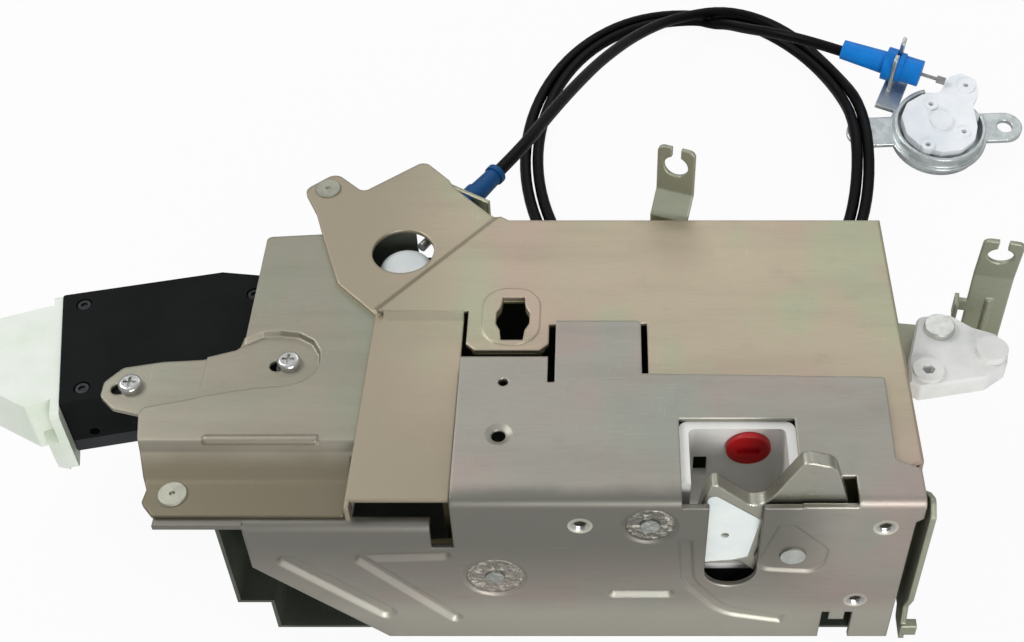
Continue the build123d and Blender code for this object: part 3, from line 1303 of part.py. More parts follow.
def key_lever():
    corners = {point: 4 for point in KEY_LEVER_POINTS}
    lever = plate_z(KEY_LEVER_POINTS, corners, KEY_LEVER_Z, KEY_LEVER_Z + KEY_LEVER_T)
    cx, cy = KEY_CENTRE
    lever = Pos(-cx, -cy) * lever
    lever += tube(10.0, KEY_RING_LOW + KEY_RING_T + 0.4, KEY_LEVER_Z + KEY_LEVER_T + 1.6)
    for x, y, d in ((-3.6, 9.5, 6.0), (-7.4, -13.3, 6.0), (9.4, -6.1, 5.5), (13.5, 20.4, 8.0)):
        lever += Pos(x, y) * tube(d, KEY_LEVER_Z + 1, KEY_LEVER_Z + KEY_LEVER_T + 0.8)
        lever -= Pos(x, y) * tube(2.4, KEY_LEVER_Z + 1, 20)
    lever -= tube(KEY_PIN_D, -10, KEY_LEVER_Z + KEY_LEVER_T + 0.6)
    return one(key_frame() * Pos(cx, cy) * lever)


parts = {
    "latch_plate": latch_plate,
    "backing_plate": backing_plate,
    "cover_plate": cover_plate,
    "key_tongue": key_tongue,
    "side_plate": side_plate,
    "casing": casing,
    "striker_liner": striker_liner,
    "lock_button": lock_button,
    "stop_buffer": stop_buffer,
    "claw": claw,
    "claw_skin": claw_skin,
    "claw_pin": claw_pin,
    "claw_spring": claw_spring,
    "keeper": keeper,
    "keeper_pin": keeper_pin,
    "keeper_spring": keeper_spring,
    "release_lever": release_lever,
    "lever_pin": lever_pin,
    "mount_screws": mount_screws,
    "cover_rivets": cover_rivets,
    "cam_bracket": cam_bracket,
    "key_cam": key_cam,
    "module_housing": module_housing,
    "module_base": module_base,
    "module_screws": module_screws,
    "motor": motor,
    "motor_worm": motor_worm,
    "worm_gear": worm_gear,
    "connector_shell": connector_shell,
    "connector_pins": connector_pins,
    "clip_bracket_rear": clip_bracket_rear,
    "clip_bracket_right": clip_bracket_right,
    "lever_bracket": lever_bracket,
    "crank_pin": crank_pin,
    "bell_crank": bell_crank,
    "side_lever": side_lever,
    "side_lever_pin": side_lever_pin,
    "cable_fitting_near": cable_fitting_near,
    "cable_clip": cable_clip,
    "cam_wire": cam_wire,
    "cable_lead": cable_lead,
    "cable_coil": cable_coil,
    "cable_tail": cable_tail,
    "cable_fitting_far": cable_fitting_far,
    "key_wire": key_wire,
    "key_bracket": key_bracket,
    "key_pin": key_pin,
    "key_lever": key_lever,
}

os.makedirs("parts", exist_ok=True)
for name, make in parts.items():
    export_step(make(), f"parts/{name}.step")
    print("made", name)
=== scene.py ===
# %% [markdown]
# # A door latch actuator
# The steel frame, claw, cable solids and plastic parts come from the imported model, and this
# lesson gives them their finish. The plates are zinc plated and passivated, which leaves
# a faint pink and green bloom. The cable lies in a coil on the table behind the body.

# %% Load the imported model
import json
import math

import bmesh
import bpy
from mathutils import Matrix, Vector

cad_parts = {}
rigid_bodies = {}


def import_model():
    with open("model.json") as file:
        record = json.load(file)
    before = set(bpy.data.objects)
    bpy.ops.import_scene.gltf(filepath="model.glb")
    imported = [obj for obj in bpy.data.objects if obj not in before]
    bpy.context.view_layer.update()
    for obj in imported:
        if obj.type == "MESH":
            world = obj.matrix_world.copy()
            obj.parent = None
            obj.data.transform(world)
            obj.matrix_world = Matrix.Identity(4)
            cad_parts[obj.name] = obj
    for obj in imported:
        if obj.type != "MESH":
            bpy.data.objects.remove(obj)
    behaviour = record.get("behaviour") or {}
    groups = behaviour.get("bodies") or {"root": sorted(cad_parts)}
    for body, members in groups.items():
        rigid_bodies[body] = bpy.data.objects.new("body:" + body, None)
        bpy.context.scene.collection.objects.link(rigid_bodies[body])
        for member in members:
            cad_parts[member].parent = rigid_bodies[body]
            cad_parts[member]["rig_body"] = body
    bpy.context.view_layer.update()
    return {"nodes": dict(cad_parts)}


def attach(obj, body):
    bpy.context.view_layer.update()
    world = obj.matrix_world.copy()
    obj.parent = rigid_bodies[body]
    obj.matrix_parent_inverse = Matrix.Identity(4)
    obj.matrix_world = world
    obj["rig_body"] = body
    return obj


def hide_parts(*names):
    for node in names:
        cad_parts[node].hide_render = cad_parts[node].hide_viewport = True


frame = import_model()
nodes = frame["nodes"]
scene = bpy.context.scene
scene.view_settings.view_transform = "Standard"
MM = 0.001


def placed(name, data):
    """An object that shows the data, linked into the scene."""
    thing = bpy.data.objects.new(name, data)
    scene.collection.objects.link(thing)
    return thing


print("nodes", len(nodes))

# %% [markdown]
# ## Camera
# The photograph looks down at 47 degrees from in front, with the view's own centre to the
# right of the picture's middle. A shifted lens gives that without turning the camera, so
# the upright edges keep the photograph's slopes.

# %% The camera
PICTURE_W = 1024
FOCAL_PX = 1500
CENTRE_PX = 600
CAMERA_PLACE = Vector((6.2, -269.66, 382.05)) * MM
PITCH_DOWN = 47

camera_data = bpy.data.cameras.new("camera")
camera_data.sensor_width = 36
camera_data.lens = FOCAL_PX / PICTURE_W * camera_data.sensor_width
camera_data.shift_x = -(CENTRE_PX - PICTURE_W / 2) / PICTURE_W
camera_data.clip_start = 0.01
camera = placed("camera", camera_data)
camera.location = CAMERA_PLACE
camera.rotation_euler = (math.radians(90 - PITCH_DOWN), 0, 0)
scene.camera = camera
print("lens", round(camera_data.lens, 2), "mm")

# %% [markdown]
# ## Shader arithmetic
# Node graphs are easier to read as sums. `Value` wraps one socket, and each operator adds
# the Math node that it stands for. `Finish` owns a material, and its `add` makes any other
# node from its type, its settings and what goes into its sockets.

# %% Values
class Value:
    """A socket that takes part in sums: each operator adds one Math node."""

    def __init__(self, finish, socket):
        self.finish = finish
        self.socket = socket

    def math(self, operation, *values):
        return self.finish.add("ShaderNodeMath", {"operation": operation}, dict(enumerate(values)))

    def __add__(self, other):
        return self.math("ADD", self, other)

    def __sub__(self, other):
        return self.math("SUBTRACT", self, other)

    def __rsub__(self, other):
        return self.math("SUBTRACT", other, self)

    def __mul__(self, other):
        return self.math("MULTIPLY", self, other)

    def __pow__(self, other):
        return self.math("POWER", self, other)

    __radd__ = __add__
    __rmul__ = __mul__

    def above(self, low, high):
        """A mask that rises smoothly from 0 at low to 1 at high."""
        settings = {"interpolation_type": "SMOOTHSTEP"}
        return self.finish.add("ShaderNodeMapRange", settings, {0: self, 1: low, 2: high})

    def clamped(self):
        return self.finish.add("ShaderNodeClamp", {}, {0: self})


print("operators", "+ - * **")

# %% [markdown]
# ## Finishes
# Each finish varies over its surface, so it needs noise, cells and mixes many times, and each
# gets a short method. A Bevel node gives the normal that the surface would have if its
# edges were rounded. Where that normal leaves the true one there is an edge, and the plates
# get a painted highlight there: their tone is lightened along each edge.

# %% Finishes
BEVEL_RAYS = 6


class Finish:
    """A material of one Principled shader, and the nodes that feed it."""

    def __init__(self, name, **constants):
        self.material = bpy.data.materials.new(name)
        self.material.use_nodes = True
        self.tree = self.material.node_tree
        self.shader = self.tree.nodes["Principled BSDF"]
        self.place = self.add("ShaderNodeTexCoord", out="Object")
        for socket, value in constants.items():
            self.shader.inputs[socket.replace("_", " ")].default_value = value

    def add(self, kind, settings=None, sockets=None, out=0):
        node = self.tree.nodes.new(kind)
        for name, value in (settings or {}).items():
            setattr(node, name, value)
        for name, value in (sockets or {}).items():
            if isinstance(value, Value):
                self.tree.links.new(value.socket, node.inputs[name])
            else:
                node.inputs[name].default_value = value
        return Value(self, node.outputs[out])

    def stretched(self, scale, turn=0.0):
        """The place on the object, scaled by its own amount along each axis."""
        sockets = {"Vector": self.place, "Scale": scale, "Rotation": (0, 0, math.radians(turn))}
        return self.add("ShaderNodeMapping", {}, sockets)

    def noise(self, scale, detail=3.0, rough=0.5, place=None, distortion=0.0):
        sockets = {"Vector": place or self.place, "Scale": scale, "Detail": detail}
        sockets |= {"Roughness": rough, "Distortion": distortion}
        return self.add("ShaderNodeTexNoise", {}, sockets)

    def cells(self, scale, out="Distance"):
        """Voronoi cells: the distance from each cell's middle, or its Color."""
        return self.add("ShaderNodeTexVoronoi", {}, {"Vector": self.place, "Scale": scale}, out)

    def mix(self, factor, one, other):
        return self.add("ShaderNodeMix", {"data_type": "RGBA"}, {0: factor, 6: one, 7: other}, 2)

    def rounded(self, radius):
        """The normal as if each edge were rounded by a radius in metres."""
        return self.add("ShaderNodeBevel", {"samples": BEVEL_RAYS}, {"Radius": radius})

    def edges(self, rounded):
        """A mask of the edges: where the rounded normal leaves the true one."""
        true = self.add("ShaderNodeNewGeometry", out="Normal")
        sockets = {0: rounded, 1: true}
        same = self.add("ShaderNodeVectorMath", {"operation": "DOT_PRODUCT"}, sockets, "Value")
        return (1 - same).above(0.02, 0.25)

    def bump(self, height, distance, strength=1.0, normal=None):
        """Relief from a height, on the surface's own normal or on another."""
        sockets = {"Height": height, "Distance": distance, "Strength": strength}
        if normal:
            sockets["Normal"] = normal
        self.feed("Normal", self.add("ShaderNodeBump", {}, sockets))

    def feed(self, socket, value):
        self.tree.links.new(value.socket, self.shader.inputs[socket])

    def dress(self, *names):
        """Gives this finish to CAD nodes or pieces, or to the copies that take their place."""
        objects = bpy.data.objects
        for name in names:
            piece = objects.get(name + "_shown") or nodes.get(name) or objects[name]
            piece.data.materials.clear()
            piece.data.materials.append(self.material)


def rgba(*values):
    """A colour written as the 0 to 255 values that it shows on a screen."""
    scaled = [value / 255 for value in values]
    linear = [c / 12.92 if c <= 0.04045 else ((c + 0.055) / 1.055) ** 2.4 for c in scaled]
    return (*linear, 1)


def shade(tone, factor):
    """A tone made darker or lighter by one factor, or by three, one for each of its colours."""
    factors = factor if isinstance(factor, tuple) else (factor,) * 3
    return tuple(min(1.0, c * f) for c, f in zip(tone, factors)) + (1,)


print("shader helpers ready")

# %% [markdown]
# ## The cable
# One black push-pull cable of 5 mm runs from the fitting at the cover's tab, through two
# loose turns on the table, to the fitting of the key unit. A NURBS curve is the right form:
# it bends smoothly through a short list of points, and a loop works out the coil's turns.
# The second turn lies inside the first, and both rise over the key unit's ear.

# %% The cable's route
CABLE_D = 5.0
TABLE_Z = -64.3
LEAD_ROUTE = [
    (-33.076, 162.062, 2.0),
    (-24.067, 176.479, 2.0),
    (-15.0, 205.0, -5.5),
    (-4.5, 236.0, -14.5),
    (7.5, 271.0, -26.5),
    (24.0, 308.0, -40.0),
    (43.0, 336.0, -51.0),
]
TAIL_ROUTE = [
    (62.0, 341.5, -59.0),
    (68.0, 336.0, -55.0),
    (75.5, 324.5, -49.0),
    (86.5, 311.0, -41.5),
    (102.0, 299.6, -37.6),
    (117.675, 293.079, -39.023),
]
print("lead", len(LEAD_ROUTE), "points, tail", len(TAIL_ROUTE), "points")

# %% [markdown]
# ## The coil
# A hand-laid coil is never a true ellipse. Its corner at the far right is fuller, its radius
# wanders a little, and each turn lies beside the one before. Short lists of knots, read
# straight between them, say how far in and how high the cable lies at each angle.

# %% The coil's turns
COIL_CENTRE = (49.7, 246.0)
COIL_RX = 81.5
COIL_RY = 114.5
FULLER = 0.9
WANDER = 0.7
WANDER_RATE = 0.83
WANDER_START = 40
COIL_FROM = 14.0
COIL_TO = 722.0
COIL_STEPS = 16
HUMP_LIFT = 12.8
INSETS = [(10, 6.0), (60, 3.6), (330, 3.6), (395, 8.9), (680, 8.9), (722, 13.0)]
HEIGHTS = [(10, 7.6), (35, 7.0), (75, 2.7), (690, 2.7), (722, 3.6)]
HUMP = [(205.0, 0.0), (240.0, HUMP_LIFT), (268.0, HUMP_LIFT), (303.0, 0.0)]


def between(value, knots):
    """Reads a value off a list of (position, value) knots, straight between them."""
    for (a, low), (b, high) in zip(knots, knots[1:]):
        if value <= b:
            return low + (high - low) * max(0.0, value - a) / (b - a)
    return knots[-1][1]


def coil_point(angle):
    """A point of the coil, its angle counted clockwise from the far end."""
    inset = between(angle, INSETS)
    inset += WANDER * math.sin(math.radians(angle * WANDER_RATE + WANDER_START))
    turn = math.radians(angle)
    across, along = math.sin(turn), math.cos(turn)
    if across > 0 and along > 0:
        across, along = across ** FULLER, along ** FULLER
    x = COIL_CENTRE[0] + (COIL_RX - inset) * across
    y = COIL_CENTRE[1] + (COIL_RY - inset) * along
    height = between(angle, HEIGHTS)
    if x > COIL_CENTRE[0]:
        height += between(y, HUMP)
    return x, y, TABLE_Z + height


count = int((COIL_TO - COIL_FROM) / 360 * COIL_STEPS)
coil = [coil_point(COIL_FROM + (COIL_TO - COIL_FROM) * step / count) for step in range(count + 1)]
cable_points = [Vector(point) * MM for point in LEAD_ROUTE + coil + TAIL_ROUTE]
print("coil", len(coil), "points")

# %% [markdown]
# ## The cable's curve
# Blender adds a point's radius to a curve's box, and that radius is 1 m unless it is set. So
# the cable's radius is given at the points, and the bevel depth, which multiplies it, is 1.

# %% The cable's curve
curve = bpy.data.curves.new("cable", "CURVE")
curve.dimensions = "3D"
curve.bevel_depth = 1.0
curve.bevel_resolution = 5
curve.use_fill_caps = True
spline = curve.splines.new("NURBS")
spline.points.add(len(cable_points) - 1)
for knot, point in zip(spline.points, cable_points):
    knot.co = (*point, 1)
    knot.radius = CABLE_D / 2 * MM
spline.order_u = 3
spline.use_endpoint_u = True
spline.resolution_u = 6
cable = placed("cable", curve)
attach(cable, "body")
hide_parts("cable_lead", "cable_coil", "cable_tail")
print("cable", len(cable_points), "points")

# %% The cable's length
def evaluated_mesh(thing):
    """The mesh of an object once its curve or its modifiers are worked out."""
    return bpy.data.meshes.new_from_object(thing.evaluated_get(bpy.context.evaluated_depsgraph_get()))


def curve_length(curve):
    """The length of a curve in metres, measured along a copy that has no thickness."""
    bare = curve.copy()
    bare.bevel_depth = 0
    probe = placed("probe", bare)
    line = evaluated_mesh(probe)
    places = [vertex.co.copy() for vertex in line.vertices]
    bpy.data.objects.remove(probe)
    bpy.data.curves.remove(bare)
    bpy.data.meshes.remove(line)
    return sum((b - a).length for a, b in zip(places, places[1:]))


cable_length = curve_length(curve)
print("cable", round(cable_length, 3), "m")

# %% [markdown]
# ## Softened edges
# A sheared or bent edge is never knife sharp, and its small round catches the light as a
# thin bright line. Copies of the plates get that round. Merging the triangles of each flat
# face first keeps the bevel to the real edges. The copies take the place of the originals.

# %% Softened copies
EDGE_ROUND = 0.3
SHOULDER = 0.6
MERGE_WITHIN = 1e-6
FLAT_WITHIN = math.radians(0.5)
EDGE_FROM = math.radians(40)


def copied(name):
    """A copy of a CAD node that takes its place."""
    piece = placed(name + "_shown", nodes[name].data.copy())
    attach(piece, nodes[name]["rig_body"])
    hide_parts(name)
    return piece


def softened(name, width=EDGE_ROUND):
    """A copy whose real edges are rounded."""
    piece = copied(name)
    shape = bmesh.new()
    shape.from_mesh(piece.data)
    bmesh.ops.remove_doubles(shape, verts=shape.verts, dist=MERGE_WITHIN)
    bmesh.ops.dissolve_limit(shape, angle_limit=FLAT_WITHIN, verts=shape.verts, edges=shape.edges)
    edges = [e for e in shape.edges if len(e.link_faces) == 2 and e.calc_face_angle(0) > EDGE_FROM]
    bmesh.ops.bevel(
        shape, geom=edges, offset=width * MM, segments=2, profile=0.5, affect="EDGES", clamp_overlap=True
    )
    bmesh.ops.triangulate(shape, faces=shape.faces)
    for face in shape.faces:
        face.smooth = False
    shape.to_mesh(piece.data)
    shape.free()
    print(name, "softened,", len(edges), "edges,", len(piece.data.polygons), "triangles")


for name in ("latch_plate", "cover_plate", "claw", "clip_bracket_rear", "clip_bracket_right"):
    softened(name)
softened("side_plate", SHOULDER)

# %% [markdown]
# ## The tab's ear
# The casing's ear lies under the cover's riveted tab and ends inside its outline. A prism
# of that outline, cut out of a copy of the casing with a Boolean, trims it.

# %% The trimmed casing
EAR_LOW = 3.0
EAR_HIGH = 7.5
EAR_TRIM = [
    (-92.0, 118.0),
    (-96.2, 133.0),
    (-100.4, 141.5),
    (-99.4, 147.3),
    (-93.4, 151.8),
    (-81.6, 142.5),
    (-72.0, 150.0),
    (-72.0, 160.0),
    (-112.0, 160.0),
    (-112.0, 118.0),
]


def outward_mesh(name, shape):
    """Turns a bmesh into a mesh whose faces look outwards."""
    bmesh.ops.recalc_face_normals(shape, faces=shape.faces)
    mesh = bpy.data.meshes.new(name)
    shape.to_mesh(mesh)
    shape.free()
    return mesh


def band(shape, one, other):
    """Joins two rings of vertices with a band of faces."""
    for i in range(len(one)):
        j = (i + 1) % len(one)
        shape.faces.new([one[i], one[j], other[j], other[i]])


def cut_away(piece, outline, low, high):
    """Cuts a prism out of a piece; its outline, and its low and high ends, are in millimetres."""
    shape = bmesh.new()
    bottom, top = ([shape.verts.new(Vector((x, y, z)) * MM) for x, y in outline] for z in (low, high))
    shape.faces.new(list(reversed(bottom)))
    shape.faces.new(top)
    band(shape, bottom, top)
    mesh = outward_mesh("cutter", shape)
    cutter = placed("cutter", mesh)
    step = piece.modifiers.new("cut", "BOOLEAN")
    step.object, step.operation, step.solver = cutter, "DIFFERENCE", "EXACT"
    result = evaluated_mesh(piece)
    piece.modifiers.clear()
    piece.data = result
    bpy.data.objects.remove(cutter)
    bpy.data.meshes.remove(mesh)


cut_away(copied("casing"), EAR_TRIM, EAR_LOW, EAR_HIGH)
print("casing trimmed")

# %% [markdown]
# ## Threads
# The three fixing holes are tapped, and the first turns of the thread show. One zigzag line
# is turned round each hole's axis. Rings look the same as a helix at this size, and
# they close on themselves.

# %% The threads
SHUT_HOLES = [(0.0, 0.0), (94.7, -1.0), (90.2, -41.8)]
THREAD_ROOT = 2.48
THREAD_CREST = 2.1
THREAD_START = 0.05
THREAD_PITCH = 0.5
THREAD_TURNS = 3
ROOT_RISE = 0.06
ROUND = 40


def thread_profile():
    """The zigzag as (radius, depth) places. Its two ends touch the bore."""
    profile = [(THREAD_ROOT, THREAD_START)]
    for turn in range(THREAD_TURNS):
        profile.append((THREAD_CREST, THREAD_START + THREAD_PITCH * (turn + 0.5)))
        profile.append((THREAD_ROOT - ROOT_RISE, THREAD_START + THREAD_PITCH * (turn + 1)))
    profile[-1] = (THREAD_ROOT, profile[-1][1])
    return profile


def thread_mesh():
    """One ring for each place of the zigzag, round each hole, joined by bands."""
    shape = bmesh.new()
    for x, z in SHUT_HOLES:
        rings = []
        for radius, depth in thread_profile():
            ring = []
            for step in range(ROUND):
                angle = math.tau * step / ROUND
                place = Vector((x + radius * math.cos(angle), depth, z + radius * math.sin(angle)))
                ring.append(shape.verts.new(place * MM))
            rings.append(ring)
        rings.append(rings[0])
        for one, other in zip(rings, rings[1:]):
            band(shape, one, other)
    return outward_mesh("threads", shape)


threads = placed("threads", thread_mesh())
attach(threads, "body")
print("threads in", len(SHUT_HOLES), "holes")

# %% [markdown]
# ## The room
# A product on a white sweep is lit by large soft lamps. Bare metal shows the room more than
# the lamps, so the room's own brightness matters: it is grey at the horizon and lighter
# overhead. Only the camera sees it white.

# %% The world
ROOM_LOW = 0.16
ROOM_HIGH = 0.62
HORIZON = -0.1
OVERHEAD = 0.95
world = bpy.data.worlds.new("studio")
scene.world = world
world.use_nodes = True
tree = world.node_tree
sky = tree.nodes["Background"]
sky.inputs["Color"].default_value = (0.95, 0.97, 1.0, 1)
direction = tree.nodes.new("ShaderNodeTexCoord")
split = tree.nodes.new("ShaderNodeSeparateXYZ")
climb = tree.nodes.new("ShaderNodeMapRange")
ends = {"From Min": HORIZON, "From Max": OVERHEAD, "To Min": ROOM_LOW, "To Max": ROOM_HIGH}
for socket, value in ends.items():
    climb.inputs[socket].default_value = value
tree.links.new(direction.outputs["Generated"], split.inputs[0])
tree.links.new(split.outputs["Z"], climb.inputs["Value"])
tree.links.new(climb.outputs[0], sky.inputs["Strength"])
white = tree.nodes.new("ShaderNodeBackground")
white.inputs["Color"].default_value = (1, 1, 1, 1)
path = tree.nodes.new("ShaderNodeLightPath")
pick = tree.nodes.new("ShaderNodeMixShader")
tree.links.new(path.outputs["Is Camera Ray"], pick.inputs[0])
tree.links.new(sky.outputs[0], pick.inputs[1])
tree.links.new(white.outputs[0], pick.inputs[2])
tree.links.new(pick.outputs[0], tree.nodes["World Output"].inputs[0])
print("room", ROOM_LOW, "to", ROOM_HIGH)

# %% [markdown]
# ## Lamps
# The key lamp stands high at the left. The front lamp fills the shut face, and a wide, weak
# one behind lifts the cover. Large lamps give soft shadows and broad, even reflections.

# %% The lamps
LAMPS = {
    "key": ((-0.75, 0.35, 0.85), (0.5, 0.5), 5.0),
    "back": ((0.25, 1.05, 0.8), (1.1, 0.35), 2.0),
    "front": ((0.35, -1.0, 0.3), (0.6, 0.4), 7.5),
}
AIM = Vector((0.0, 0.08, -0.02))
for name, (place, size, power) in LAMPS.items():
    lamp_data = bpy.data.lights.new(name, "AREA")
    lamp_data.shape = "RECTANGLE"
    lamp_data.size, lamp_data.size_y = size
    lamp_data.energy = power
    lamp = placed(name, lamp_data)
    lamp.location = place
    lamp.rotation_euler = (AIM - Vector(place)).to_track_quat("-Z", "Y").to_euler()
print("lamps", len(LAMPS))

# %% [markdown]
# ## Floor
# The floor is almost white to the camera, but takes the object's shadow, and sends less
# light back up at the shut face. A Light Path node tells the camera's rays from the others.

# %% The floor
FLOOR_HALF = 6.0
FLOOR_GREY = 0.72
FLOOR_BELOW = 0.0001
SEEN_WHITE = 0.94
floor_mesh = bpy.data.meshes.new("floor")
floor_z = TABLE_Z * MM - FLOOR_BELOW
corners = [(-1, -1), (1, -1), (1, 1), (-1, 1)]
floor_mesh.from_pydata([(x * FLOOR_HALF, y * FLOOR_HALF, floor_z) for x, y in corners], [], [(0, 1, 2, 3)])
floor = placed("floor", floor_mesh)
grey = (FLOOR_GREY, FLOOR_GREY, FLOOR_GREY, 1)
floor_finish = Finish("floor", Base_Color=grey, Roughness=0.9, Specular_IOR_Level=0.1)
glow = floor_finish.add("ShaderNodeEmission", {}, {"Color": (1, 1, 1, 1), "Strength": 1.0})
seen = floor_finish.add("ShaderNodeLightPath") * SEEN_WHITE
mixed = floor_finish.add("ShaderNodeMixShader", {}, {0: seen, 2: glow})
floor_finish.tree.links.new(floor_finish.shader.outputs[0], mixed.socket.node.inputs[1])
floor_finish.tree.links.new(mixed.socket, floor_finish.tree.nodes["Material Output"].inputs[0])
floor_finish.dress("floor")
print("floor at", TABLE_Z, "mm")

# %% [markdown]
# ## Zinc plated sheet
# The plates are pressed from steel sheet, plated with zinc and passivated. That layer is
# very thin, so it takes on weak pink and green clouds, and rolling leaves a fine grain.
# Handling adds short scratches and dark grime. Soft streaks add painted dark reflection bands,
# and the edges get a painted highlight. Each plate has its own tone, so one function makes
# them all, with the tone, the strength of the clouds and the grain's direction as its values.

# %% The plated finish
EDGE_SHINE = 0.0011
SHEET_RELIEF = 0.00005


def scratched(finish, turn):
    """A mask of short scratches that run two ways, in a few places only."""
    places = finish.noise(22, 2.0, 0.5).above(0.5, 0.62)
    along = finish.noise(1.0, 1.0, 0.4, place=finish.stretched((90, 2100, 700), turn + 24))
    across = finish.noise(1.0, 1.0, 0.4, place=finish.stretched((1700, 110, 700), turn - 33))
    return (along.above(0.7, 0.74) * places + across.above(0.72, 0.75) * places).clamped()


def plated(
    name, tone, pink, green, cloud, rough=0.34, metal=0.85, grain_turn=0.0,
    spangle=0.0, painted_edge_highlight=1.5, marks=(),
):
    """Plated sheet: clouds, streaks with painted reflection bands, grain, crystals, scratches, grime, painted
    edge highlights and marks.
    """
    finish = Finish(name, IOR=1.6)
    big = finish.noise(16, 3.0, 0.55, distortion=0.8)
    wide = finish.noise(30, 2.0, 0.5, place=finish.stretched((1, 0.6, 1), 30))
    colour = finish.mix(big.above(0.44, 0.66) * cloud, tone, pink)
    colour = finish.mix(wide.above(0.5, 0.72) * cloud, colour, green)
    # Painted reflection: soft streaks darken the tone in bands, like the dark reflections along bent plates;
    # the same noise also adds relief and roughness.
    streak_and_reflection_band = finish.noise(1.0, 3.0, 0.6, place=finish.stretched((14, 90, 60), grain_turn))
    colour = finish.mix(streak_and_reflection_band.above(0.42, 0.75) * 0.35, colour, shade(tone, 0.78))
    grain = finish.noise(1.0, 2.0, 0.6, place=finish.stretched((120, 2600, 900), grain_turn))
    fine = finish.noise(1400, 2.0, 0.6)
    colour = finish.mix(grain.above(0.5, 0.8) * 0.3, colour, shade(tone, 0.72))
    if spangle:
        lightness = finish.add("ShaderNodeSeparateColor", {}, {0: finish.cells(330, "Color")})
        colour = finish.mix(lightness * spangle, colour, shade(tone, 0.5))
    scratch = scratched(finish, grain_turn)
    colour = finish.mix(scratch * 0.18, colour, shade(tone, 1.35))
    grime = finish.noise(75, 6.0, 0.65).above(0.56, 0.78)
    colour = finish.mix(grime * 0.2, colour, shade(tone, 0.45))
    height = grain * 0.5 + fine * 0.35 - scratch * 0.3 + streak_and_reflection_band * 0.8
    roughness = rough + big * 0.14 + streak_and_reflection_band * 0.1 + grain * 0.08 - scratch * 0.1
    # Painted highlight: the edge mask lightens the tone along each edge, and the rounded normal also feeds
    # the bump.
    rounded = finish.rounded(EDGE_SHINE)
    edge = finish.edges(rounded)
    colour = finish.mix(edge * 0.7, colour, shade(tone, painted_edge_highlight))
    roughness = roughness - edge * 0.12
    for mark in marks:
        mask, dent, factor = mark(finish)
        colour = finish.mix(mask, colour, shade(tone, factor))
        height = height + dent
    finish.feed("Base Color", colour)
    finish.feed("Roughness", roughness.clamped())
    finish.feed("Metallic", (metal - grime * 0.1).clamped())
    finish.bump(height, SHEET_RELIEF, 0.6, rounded)
    return finish


print("plated finish ready")

# %% [markdown]
# ## Marks on the plates
# Some places of a plate look unlike the rest: threaded holes have a bright cone at their
# mouth, riveting leaves a rough disc, and whole zones get painted shade or painted light,
# darker or lighter with what they face. A mark is a function that is given the finish, and
# returns where it lies, how much height it adds and how it changes the tone. Places are in
# millimetres.

# %% Marks
CLOUD_REACH = 6.0
CONE_FOOT = 2.4
CONE_TOP = 3.9
CONE_BLUR = 0.2
RAG = 1.6
RAG_BLUR = 0.7


def coordinate(finish, axis):
    """The place along X, Y or Z, in metres."""
    return finish.add("ShaderNodeSeparateXYZ", {}, {0: finish.place}, axis)


def distance_from(finish, x, z):
    """The distance in metres from a line through (x, z), square to the shut face."""
    across, up = coordinate(finish, "X") - x * MM, coordinate(finish, "Z") - z * MM
    return (across * across + up * up) ** 0.5


def zone(finish, axis, full, none):
    """A mask along an axis: 1 at the first place and 0 at the second, with a ragged border."""
    cloud = finish.noise(45, 3.0, 0.5) * CLOUD_REACH * MM - CLOUD_REACH / 2 * MM
    low, high = sorted((full, none))
    rise = (coordinate(finish, axis) + cloud).above(low * MM, high * MM)
    return rise if full > none else 1 - rise


def painted_shading(factor, *zones):
    """Painted shade or painted light: the tone made darker or lighter where all the zones overlap."""
    def mark(finish):
        mask = zone(finish, *zones[0])
        for more in zones[1:]:
            mask = mask * zone(finish, *more)
        return mask, 0.0, factor
    return mark


def countersink(x, z):
    """The bright cone at the mouth of a threaded hole."""
    def mark(finish):
        far = distance_from(finish, x, z)
        rim = 1 - far.above((CONE_TOP - CONE_BLUR) * MM, (CONE_TOP + CONE_BLUR) * MM)
        cone = far.above(CONE_FOOT * MM, CONE_TOP * MM)
        return rim * 0.9, cone * 14.0, 1.6
    return mark


def staked(x, z, radius):
    """The rough disc that a riveting tool leaves round a pin's head."""
    def mark(finish):
        far = distance_from(finish, x, z)
        rag = finish.noise(260, 3.0, 0.6) * RAG * MM
        disc = 1 - (far + rag).above(radius * MM, (radius + RAG_BLUR) * MM)
        chips = finish.noise(420, 4.0, 0.7)
        dent = disc * (finish.cells(620) * 18.0 + chips * 30.0)
        return disc * chips.above(0.5, 0.62) * 0.8, dent, 1.7
    return mark


STAKED_PINS = [(21.7, -0.5, 8.0), (-27.7, -28.8, 9.6)]
# Painted shade darkens the upper part of the shut face short of its right end, and painted light lifts its
# lowest band.
shut_marks = [
    painted_shading(0.52, ("Y", 2, 8), ("Z", -6, -50), ("X", 60, 85)),
    painted_shading(1.25, ("Y", 2, 8), ("Z", -52, -38)),
]
shut_marks += [countersink(*place) for place in SHUT_HOLES] + [staked(*place) for place in STAKED_PINS]
print("marks on the shut face", len(shut_marks))

# %% [markdown]
# ## Dress the plates
# The cover and its tab are the yellowest, the shut face is greyer with more pink in it, and
# the key unit's bracket is bright zinc with large crystals. The claw is polished by its striker.

# %% The plates' finishes
face_steel = plated(
    "face_steel", rgba(170, 167, 156), rgba(180, 160, 153), rgba(158, 166, 154), 0.6,
    painted_edge_highlight=2.1, marks=shut_marks,
)
face_steel.dress("latch_plate")
# Painted shade darkens the cover's left-hand strip, and its front towards the left.
cover_steel = plated(
    "cover_steel", rgba(190, 178, 155), rgba(196, 172, 158), rgba(178, 186, 156), 0.85,
    marks=[painted_shading(0.76, ("X", -78, -28)), painted_shading(0.72, ("Y", 5, 70), ("X", -45, -30))],
)
cover_steel.dress("cover_plate", "cable_clip")
